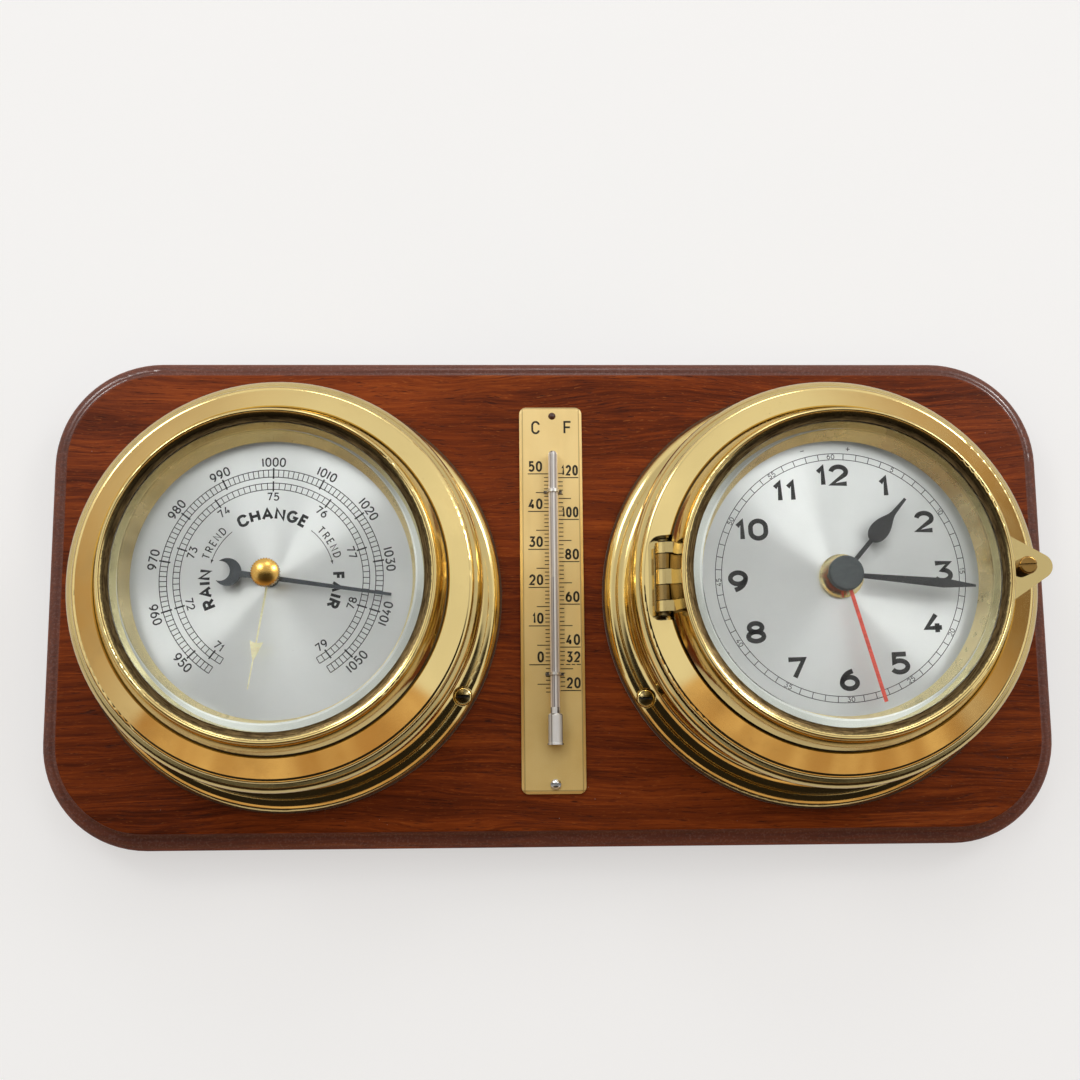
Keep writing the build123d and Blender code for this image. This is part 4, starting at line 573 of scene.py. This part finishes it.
# Strokes of each character in a square from 0,0 to 1,1; | is the narrow figure one
SIX = [bow(0.5, 0.32, 0.5, 0.32, 180, 540), bow(0.98, 0.30, 0.98, 0.70, 180, 104)]
GLYPHS = {
    "|": [[(0.5, 1.0), (0.5, 0.0)]],
    "0": [bow(0.5, 0.62, 0.5, 0.38, 0, 180) + bow(0.5, 0.38, 0.5, 0.38, 180, 360) + [(1, 0.62)]],
    "1": [[(0.0, 0.74), (0.78, 1.0), (0.78, 0.0)]],
    "2": [bow(0.5, 0.70, 0.5, 0.30, 172, -38) + [(0.0, 0.0), (1.0, 0.0)]],
    "3": [[(0.04, 1.0), (0.96, 1.0), (0.46, 0.60)] + bow(0.47, 0.30, 0.53, 0.30, 88, -152)],
    "4": [[(0.66, 1.0), (0.0, 0.26), (1.0, 0.26)], [(0.70, 0.50), (0.70, 0.0)]],
    "5": [[(0.94, 1.0), (0.16, 1.0), (0.12, 0.56)] + bow(0.47, 0.32, 0.53, 0.32, 122, -150)],
    "6": SIX,
    "7": [[(0.0, 1.0), (1.0, 1.0), (0.36, 0.0)]],
    "8": [bow(0.5, 0.76, 0.42, 0.24, -90, 270), bow(0.5, 0.26, 0.5, 0.26, 90, 450)],
    "9": [[(1 - x, 1 - y) for x, y in stroke] for stroke in SIX],
    "A": [[(0.0, 0.0), (0.5, 1.0), (1.0, 0.0)], [(0.18, 0.34), (0.82, 0.34)]],
    "C": [bow(0.5, 0.68, 0.5, 0.32, 12, 180) + bow(0.5, 0.32, 0.5, 0.32, 180, 348)],
    "D": [[(0.0, 0.0), (0.0, 1.0), (0.4, 1.0)] + bow(0.4, 0.5, 0.6, 0.5, 80, -80)
          + [(0.4, 0.0), (0.0, 0.0)]],
    "E": [[(1.0, 1.0), (0.0, 1.0), (0.0, 0.0), (1.0, 0.0)], [(0.0, 0.52), (0.86, 0.52)]],
    "F": [[(1.0, 1.0), (0.0, 1.0), (0.0, 0.0)], [(0.0, 0.52), (0.9, 0.52)]],
    "G": [bow(0.5, 0.5, 0.5, 0.5, 48, 325) + [(1.0, 0.44), (0.56, 0.44)]],
    "H": [[(0.0, 0.0), (0.0, 1.0)], [(1.0, 0.0), (1.0, 1.0)], [(0.0, 0.5), (1.0, 0.5)]],
    "I": [[(0.5, 1.0), (0.5, 0.0)]],
    "N": [[(0.0, 0.0), (0.0, 1.0), (1.0, 0.0), (1.0, 1.0)]],
    "R": [[(0.0, 0.0), (0.0, 1.0), (0.5, 1.0)] + bow(0.55, 0.75, 0.4, 0.25, 84, -84) + [(0.0, 0.5)],
          [(0.48, 0.5), (1.0, 0.0)]],
    "T": [[(0.0, 1.0), (1.0, 1.0)], [(0.5, 1.0), (0.5, 0.0)]],
    "+": [[(0.0, 0.5), (1.0, 0.5)], [(0.5, 0.0), (0.5, 1.0)]],
    "-": [[(0.0, 0.5), (1.0, 0.5)]],
}
NARROW = {"1": 0.54, "|": 0.40, "I": 0.34, "E": 0.80, "F": 0.80, "A": 1.10, "C": 1.06, "G": 1.12,
          "R": 0.92}
PRINT_LIFT = 0.03 * MM
Letters = namedtuple("Letters", "height width weight gap")


def widths(words, letters):
    return [letters.width * NARROW.get(sign, 1.0) for sign in words]


def total_width(words, letters):
    return sum(widths(words, letters)) + letters.gap * (len(words) - 1)


def spots(words, letters):
    """Each character, with the place of its middle along a line that starts at the words' middle."""
    here = -total_width(words, letters) / 2
    for sign, width in zip(words, widths(words, letters)):
        yield sign, here + width / 2
        here += width + letters.gap


def add_piece(name, points, faces, material):
    mesh = bpy.data.meshes.new(name)
    mesh.from_pydata(points, [], faces)
    mesh.update()
    mesh.materials.append(material)
    thing = bpy.data.objects.new(name, mesh)
    bpy.context.scene.collection.objects.link(thing)
    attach(thing, "base")


class Print:
    """Flat ink strokes just above a face, gathered into one mesh; places are in millimetres."""

    def __init__(self, centre, face_height):
        self.centre = centre
        self.height = face_height + PRINT_LIFT
        self.points = []
        self.faces = []

    def face(self, corners):
        first = len(self.points)
        for x, y in corners:
            self.points.append(((self.centre + x) * MM, y * MM, self.height))
        self.faces.append(tuple(range(first, first + len(corners))))

    def stroke(self, line, width):
        """A ribbon along a line of points, mitred at its corners."""
        half = width / 2
        count = len(line)
        closed = count > 2 and math.dist(line[0], line[-1]) < 1e-6
        left, right = [], []
        for index, (x, y) in enumerate(line):
            before = line[index - 1] if index else (line[-2] if closed else line[0])
            after = line[index + 1] if index < count - 1 else (line[1] if closed else line[-1])
            entry = unit((x - before[0], y - before[1]))
            leave = unit((after[0] - x, after[1] - y))
            entry = entry or leave
            leave = leave or entry
            normal = unit((-entry[1] - leave[1], entry[0] + leave[0])) or (-entry[1], entry[0])
            stretch = min(1.6, 1 / max(0.4, -normal[0] * entry[1] + normal[1] * entry[0]))
            left.append((x + normal[0] * half * stretch, y + normal[1] * half * stretch))
            right.append((x - normal[0] * half * stretch, y - normal[1] * half * stretch))
        for index in range(count - 1):
            self.face([right[index], right[index + 1], left[index + 1], left[index]])

    def arc(self, radius, start, end, width):
        steps = max(2, int(abs(end - start) / 1.5))
        line = [polar(radius, start + (end - start) * k / steps) for k in range(steps + 1)]
        self.stroke(line, width)

    def ray(self, span, angle, width):
        self.stroke([polar(radius, angle) for radius in span], width)

    def ruler(self, values, angle_of, band, long, widths_of):
        """Two arcs with a ray at each value; every tenth ray is longer and bolder."""
        arc, thin, bold = widths_of
        for radius in band:
            self.arc(radius, angle_of(values[0]), angle_of(values[-1]), arc)
        for value in values:
            if value % 10:
                self.ray(band, angle_of(value), thin)
            else:
                self.ray(long, angle_of(value), bold)

    def glyph(self, sign, place, up, letters):
        """One character with its middle at place, its top towards the angle up."""
        turn = math.radians(up - 90)
        c, s = math.cos(turn), math.sin(turn)
        width = letters.width * NARROW.get(sign, 1.0)
        for stroke in GLYPHS[sign]:
            line = []
            for x, y in stroke:
                x = (x - 0.5) * (width - letters.weight)
                y = (y - 0.5) * (letters.height - letters.weight)
                line.append((place[0] + c * x - s * y, place[1] + s * x + c * y))
            self.stroke(line, letters.weight)

    def text(self, words, place, up, letters):
        """Straight text with its middle at place."""
        turn = math.radians(up - 90)
        for sign, along in spots(words, letters):
            spot = (place[0] + along * math.cos(turn), place[1] + along * math.sin(turn))
            self.glyph(sign, spot, up, letters)

    def round_text(self, words, radius, middle, letters, inward=False):
        """Text bent round the centre, tops outwards, or inwards when it would stand on its head."""
        way = 1 if inward else -1
        for sign, along in spots(words, letters):
            angle = middle + way * math.degrees(along / radius)
            self.glyph(sign, polar(radius, angle), angle + (180 if inward else 0), letters)

    def piece(self, name, material):
        add_piece(name, self.points, self.faces, MATERIALS[material])


PRESSURES = range(945, 1056)
PRESSURE_TURN = 2.68  # degrees for each hectopascal
PRESSURE_BAND, PRESSURE_LONG = (29.5, 31.6), (29.0, 32.2)
PRESSURE_FIGURES, PRESSURE_RADIUS = Letters(2.75, 1.75, 0.42, 0.32), 33.9
MERCURY_TENTHS = range(708, 793)
MERCURY_TURN = 35.7  # degrees for each centimetre
MERCURY_BAND, MERCURY_LONG = (25.9, 27.75), (25.3, 28.3)
MERCURY_FIGURES, MERCURY_RADIUS = Letters(2.4, 1.6, 0.38, 0.30), 23.8
WEATHER_RADIUS = 18.8
WEATHER = (("CHANGE", 90, Letters(3.6, 2.95, 0.82, 0.52)),
           ("RAIN", 189, Letters(3.6, 2.95, 0.82, 0.50)),
           ("FAIR", -10, Letters(3.6, 2.85, 0.82, 0.50)))
TREND_LETTERS, TREND_RADIUS, TREND_MIDDLES = Letters(2.3, 1.5, 0.33, 0.75), 19.7, (148, 33)
ARROW_RADIUS, ARROWS = 17.75, ((130, 165), (51.7, 14))


def barometer_scale():
    p = Print(-INSTRUMENT_X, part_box("barometer_dial")[1].z)

    def pressure_angle(value):
        return 90 - (value - 1000) * PRESSURE_TURN

    def mercury_angle(tenth):
        return 90 - (tenth / 10 - 75) * MERCURY_TURN

    p.ruler(PRESSURES, pressure_angle, PRESSURE_BAND, PRESSURE_LONG, (0.24, 0.23, 0.44))
    for value in range(950, 1051, 10):
        p.round_text(str(value).replace("1", "|"), PRESSURE_RADIUS, pressure_angle(value),
                     PRESSURE_FIGURES, inward=value in (950, 960, 1040, 1050))
    p.ruler(MERCURY_TENTHS, mercury_angle, MERCURY_BAND, MERCURY_LONG, (0.23, 0.22, 0.42))
    for value in range(71, 80):
        p.round_text(str(value), MERCURY_RADIUS, mercury_angle(10 * value), MERCURY_FIGURES,
                     inward=value in (71, 72, 78, 79))
    for word, middle, letters in WEATHER:
        p.round_text(word, WEATHER_RADIUS, middle, letters)
    for middle in TREND_MIDDLES:
        p.round_text("TREND", TREND_RADIUS, middle, TREND_LETTERS)
    for start, end in ARROWS:
        p.arc(ARROW_RADIUS, start, end, 0.20)
        neck = end - math.copysign(3.4, end - start)
        p.face([polar(ARROW_RADIUS, end), polar(ARROW_RADIUS + 0.4, neck),
                polar(ARROW_RADIUS - 0.4, neck)])
    p.piece("barometer_scale", "ink")


CLOCK_TILT = 2.5  # the dial is a little turned in its case
MINUTE_BAND, MINUTE_RADIUS, MINUTE_LINE = (34.3, 36.1), 35.2, 0.20
MINUTE_FIGURES = Letters(1.45, 1.0, 0.19, 0.22)
SLOWER, FASTER = ("-", 38.1, 104.9, 1.0), ("+", 37.6, 84.5, 1.3)  # sign, radius, angle, height
HOUR_FIGURES, HOUR_RADIUS = Letters(6.45, 5.75, 1.36, 0.70), 29.6
HOUR_SHIFT = {10: 1.0, 11: 0.6}


def clock_scale():
    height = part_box("clock_dial")[1].z

    def minute_angle(minute):
        return 90 + CLOCK_TILT - 6 * minute

    p = Print(INSTRUMENT_X, height)
    for radius in MINUTE_BAND:
        p.arc(radius, 0, 360, MINUTE_LINE)
    for minute in range(60):
        if minute % 5:
            p.ray(MINUTE_BAND, minute_angle(minute), MINUTE_LINE)
    for minute in range(5, 61, 5):
        p.round_text(str(minute), MINUTE_RADIUS, minute_angle(minute), MINUTE_FIGURES,
                     inward=20 <= minute <= 40)
    for sign, radius, angle, size in (SLOWER, FASTER):
        p.text(sign, polar(radius, angle), angle, Letters(size, 1.3, MINUTE_LINE, 0))
    p.piece("clock_minute_track", "ink")
    p = Print(INSTRUMENT_X, height)
    for hour in range(1, 13):
        x, y = polar(HOUR_RADIUS, minute_angle(5 * hour))
        p.text(str(hour), (x + HOUR_SHIFT.get(hour, 0.0), y), 90 + CLOCK_TILT, HOUR_FIGURES)
    p.piece("clock_numerals", "numeral_ink")


UNIT_Y = 53.9
CELSIUS_ZERO, CELSIUS_STEP = -21.14, 1.2016
FAHRENHEIT_20, FAHRENHEIT_STEP = -29.13, 0.6685
CELSIUS_START, FAHRENHEIT_START = -0.8, 2.3
FREEZING, FREEZING_DASHES = 32, ((2.3, 3.4), (4.0, 5.4), (5.8, 6.9), (7.3, 8.6))
LONG_LINE, SHORT_LINE = 0.30, 0.27
DEGREE_FIGURES = Letters(3.45, 2.0, 0.64, 0.36)
HUNDRED_FIGURES = DEGREE_FIGURES._replace(width=1.75)


def thermometer_scale():
    p = Print(0.0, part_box("thermometer_plate")[1].z)
    p.text("C", (-4.7, UNIT_Y), 90, Letters(4.3, 2.6, 0.62, 0))
    p.text("F", (5.4, UNIT_Y), 90, Letters(4.3, 3.2, 0.62, 0))

    def right_aligned(words, right, y, letters):
        p.text(words, (right - total_width(words, letters) / 2, y), 90, letters)

    for celsius in range(-7, 51):
        y = CELSIUS_ZERO + CELSIUS_STEP * celsius
        named = celsius % 10 == 0
        reach = -7.3 if named else -4.8 if celsius % 5 == 0 else -2.2
        p.stroke([(reach, y), (CELSIUS_START, y)], LONG_LINE if named else SHORT_LINE)
        if named:
            right_aligned(str(celsius), -2.75, y + 2.4, DEGREE_FIGURES)
    for fahrenheit in range(20, 123, 2):
        y = FAHRENHEIT_20 + FAHRENHEIT_STEP * (fahrenheit - 20)
        named = fahrenheit % 20 == 0
        reach = 8.6 if named else 6.2 if fahrenheit % 10 == 0 else 3.7
        if fahrenheit == FREEZING:
            for start, end in FREEZING_DASHES:
                p.stroke([(start, y), (end, y)], LONG_LINE)
        else:
            p.stroke([(FAHRENHEIT_START, y), (reach, y)], LONG_LINE if named else SHORT_LINE)
        if named or fahrenheit == FREEZING:
            right_aligned(str(fahrenheit), 8.5, y + 2.35,
                          DEGREE_FIGURES if fahrenheit < 100 else HUNDRED_FIGURES)
    p.piece("thermometer_scale", "plate_ink")


FIBRES = 520
FIBRE_HALF_WIDTH = 0.035
FIBRE_STEPS = 3
FIBRE_LIFT = 0.03 * MM  # least height above the board, and the height of one edge over the other


def felt_fibres():
    """Loose fibres of the felt gaskets, standing out from under the flanges."""
    board_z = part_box("flange_gaskets")[0].z
    points, faces = [], []
    for centre in (-INSTRUMENT_X, INSTRUMENT_X):
        for _ in range(FIBRES):
            angle = random.uniform(0, 360)
            lean = random.gauss(0, 40)
            length = abs(random.gauss(0.6, 0.5)) + 0.15
            start = polar(FELT_EDGE, angle)
            way = polar(1.0, angle + lean)
            side = polar(FIBRE_HALF_WIDTH, angle + lean + 90)
            base = random.uniform(0.15, 0.9)
            droop = random.uniform(-0.25, 0.25)
            first = len(points)
            for step in range(FIBRE_STEPS + 1):
                share = step / FIBRE_STEPS
                curl = 0.25 * length * share * share * random.uniform(-1, 1)
                x = centre + start[0] + way[0] * length * share - way[1] * curl
                y = start[1] + way[1] * length * share + way[0] * curl
                z = max(board_z + FIBRE_LIFT, board_z + (base + droop * share) * MM)
                taper = 1 - 0.7 * share
                for edge, lift in ((taper, 0.0), (-taper, FIBRE_LIFT)):
                    points.append(((x + side[0] * edge) * MM, (y + side[1] * edge) * MM, z + lift))
            for step in range(FIBRE_STEPS):
                a = first + 2 * step
                faces.append((a, a + 1, a + 3, a + 2))
    add_piece("felt_fibres", points, faces, MATERIALS["felt"])


SLOT_LENGTH, SLOT_HALF_WIDTH, SLOT_DEPTH = 3.7, 0.39, 0.62
SLOT_STEPS = 8


def slot_dirt():
    """Painted shade in the slots of the flange screws: a dark sheet, uneven along each slot and hollow
    in its middle.
    """
    top_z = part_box("flange_screws")[1].z
    points, faces = [], []
    for centre in (-INSTRUMENT_X, INSTRUMENT_X):
        for angle in SCREW_ANGLES:
            x, y = polar(SCREW_CIRCLE, angle)
            first = len(points)
            for step in range(SLOT_STEPS + 1):
                along = SLOT_LENGTH * (step / SLOT_STEPS - 0.5)
                sheet_z = top_z - (SLOT_DEPTH + 0.05 * math.sin(2.1 * step + angle)) * MM
                for across in (-SLOT_HALF_WIDTH, 0.0, SLOT_HALF_WIDTH):
                    sag = 0.06 * MM if across == 0.0 else 0.0
                    points.append(((centre + x + along) * MM, (y + across) * MM, sheet_z - sag))
            for step in range(SLOT_STEPS):
                for lane in (0, 1):
                    a = first + 3 * step + lane
                    faces.append((a, a + 3, a + 4, a + 1))
    add_piece("screw_slot_shade", points, faces, MATERIALS["slot_dirt"])


def floor():
    """Pale sheet; mirrored in the brass it turns dark on the photographer's side."""
    far, drop = 3.0, -0.0003
    s = Shader("studio_floor")
    rays = s.add("ShaderNodeLightPath").outputs
    mottle = s.noise(s.place, 6.0, 3.0)
    sheet = s.mix(s.remap(mottle, 0.3, 0.7), (0.850, 0.846, 0.840), (0.862, 0.858, 0.852))
    away = s.product(s.remap(s.split(s.place)["Y"], -0.18, -0.40), rays["Is Glossy Ray"])
    sheet = s.mix(away, sheet, (0.020, 0.014, 0.010))
    sheet = s.mix(s.product(rays["Is Camera Ray"], 0.5), sheet, (0.0, 0.0, 0.0))
    s.set(Base_Color=sheet, Roughness=0.9, Specular_IOR_Level=0.1,
          Emission_Color=(1.0, 0.995, 0.988),
          Emission_Strength=s.product(rays["Is Camera Ray"], 0.55))
    mesh = bpy.data.meshes.new("floor")
    corners = [(-far, -far, 0), (far, -far, 0), (far, far, 0), (-far, far, 0)]
    mesh.from_pydata(corners, [], [(0, 1, 2, 3)])
    mesh.materials.append(s.material)
    thing = bpy.data.objects.new("floor", mesh)
    thing.location.z = drop
    bpy.context.scene.collection.objects.link(thing)


def studio_world():
    """White walls, a greyer ceiling, a dark horizon, a warm dark room on the photographer's side."""
    horizon, low_wall, wall, ceiling = (0.08, 0.048, 0.026), (0.54, 0.35, 0.18), (0.94,) * 3, (0.70,) * 3
    room_foot, room_dim, room_lit = (0.03, 0.02, 0.014), (0.52, 0.29, 0.125), (0.88, 0.63, 0.36)
    room_top, backdrop = (0.022, 0.018, 0.014), (0.905, 0.900, 0.893)
    world = bpy.data.worlds.new("studio")
    bpy.context.scene.world = world
    world.use_nodes = True
    s = Graph(world.node_tree)
    direction = s.add("ShaderNodeTexCoord").outputs["Generated"]
    x, y, z = s.split(direction)
    lift = s.remap_plain(s.total(z, s.remap(y, -0.2, 0.8, 0.0, 0.16)), 0.06, 0.34)
    colour = s.ramp(lift, (0.0, horizon), (0.45, low_wall), (1.0, wall))
    colour = s.mix(s.remap(z, 0.74, 0.94), colour, ceiling)
    spread = s.product(s.math("ABSOLUTE", x), s.remap(z, 0.92, 0.55, 0.0, 0.75))
    near = s.remap(s.total(y, spread), 0.09, 0.01)
    room = s.noise(s.vector("MULTIPLY", direction, (7.0, 7.0, 16.0)), 1.0, 4.0, 0.6)
    warm = s.mix(s.remap(z, 0.14, 0.28), room_foot, s.mix(s.remap(room, 0.40, 0.62), room_dim, room_lit))
    warm = s.mix(s.remap(s.total(z, s.product(room, 0.08)), 0.59, 0.64), warm, room_top)
    colour = s.mix(near, colour, warm)
    seen = s.add("ShaderNodeLightPath").outputs["Is Camera Ray"]
    background = s.add("ShaderNodeBackground")
    s.plug(background.inputs["Color"], s.mix(seen, colour, backdrop))
    background.inputs["Strength"].default_value = 1.0
    output = s.add("ShaderNodeOutputWorld")
    s.tree.links.new(background.outputs[0], output.inputs["Surface"])


LAMP_PLACES = {"left": (-0.59, 0.58, 0.84), "right": (0.72, 0.55, 0.84), "top": (0.04, 0.85, 0.75)}
LAMP_AIM = (0.0, 0.0, 0.05)


def softbox(side, width, depth, power, gloss=False):
    """Soft lamp at one of the three places; a gloss lamp shows only in mirrored light."""
    name = side + "_gloss" if gloss else side
    lamp = bpy.data.lights.new(name, "AREA")
    lamp.shape = "RECTANGLE"
    lamp.size, lamp.size_y = width, depth
    lamp.energy = power
    thing = bpy.data.objects.new(name, lamp)
    place = Vector(LAMP_PLACES[side])
    thing.location = place
    thing.rotation_euler = (Vector(LAMP_AIM) - place).to_track_quat("-Z", "Y").to_euler()
    thing.visible_diffuse = not gloss
    bpy.context.scene.collection.objects.link(thing)


def camera():
    """The photograph's own viewpoint, fitted to the edges seen in it."""
    data = bpy.data.cameras.new("camera")
    data.lens = 51.795
    data.sensor_width = 36.0
    data.sensor_fit = "HORIZONTAL"
    data.clip_start = 0.01
    thing = bpy.data.objects.new("camera", data)
    thing.matrix_world = Matrix((
        (0.99943212, 0.00353829, -0.03350994, -0.01989),
        (-0.00917595, 0.98546727, -0.16961741, -0.06446),
        (0.03242279, 0.16982857, 0.98494011, 0.49706),
        (0.0, 0.0, 0.0, 1.0)))
    bpy.context.scene.collection.objects.link(thing)
    bpy.context.scene.camera = thing


barometer_scale()
clock_scale()
thermometer_scale()
felt_fibres()
slot_dirt()
floor()
studio_world()
softbox("left", 0.34, 0.34, 1.7)
softbox("right", 0.34, 0.34, 1.9)
softbox("top", 0.30, 0.20, 0.8)
softbox("left", 0.12, 0.12, 4.4, gloss=True)
softbox("right", 0.12, 0.12, 5.0, gloss=True)
softbox("top", 0.10, 0.10, 1.4, gloss=True)
camera()
bpy.context.scene.view_settings.view_transform = "Standard"
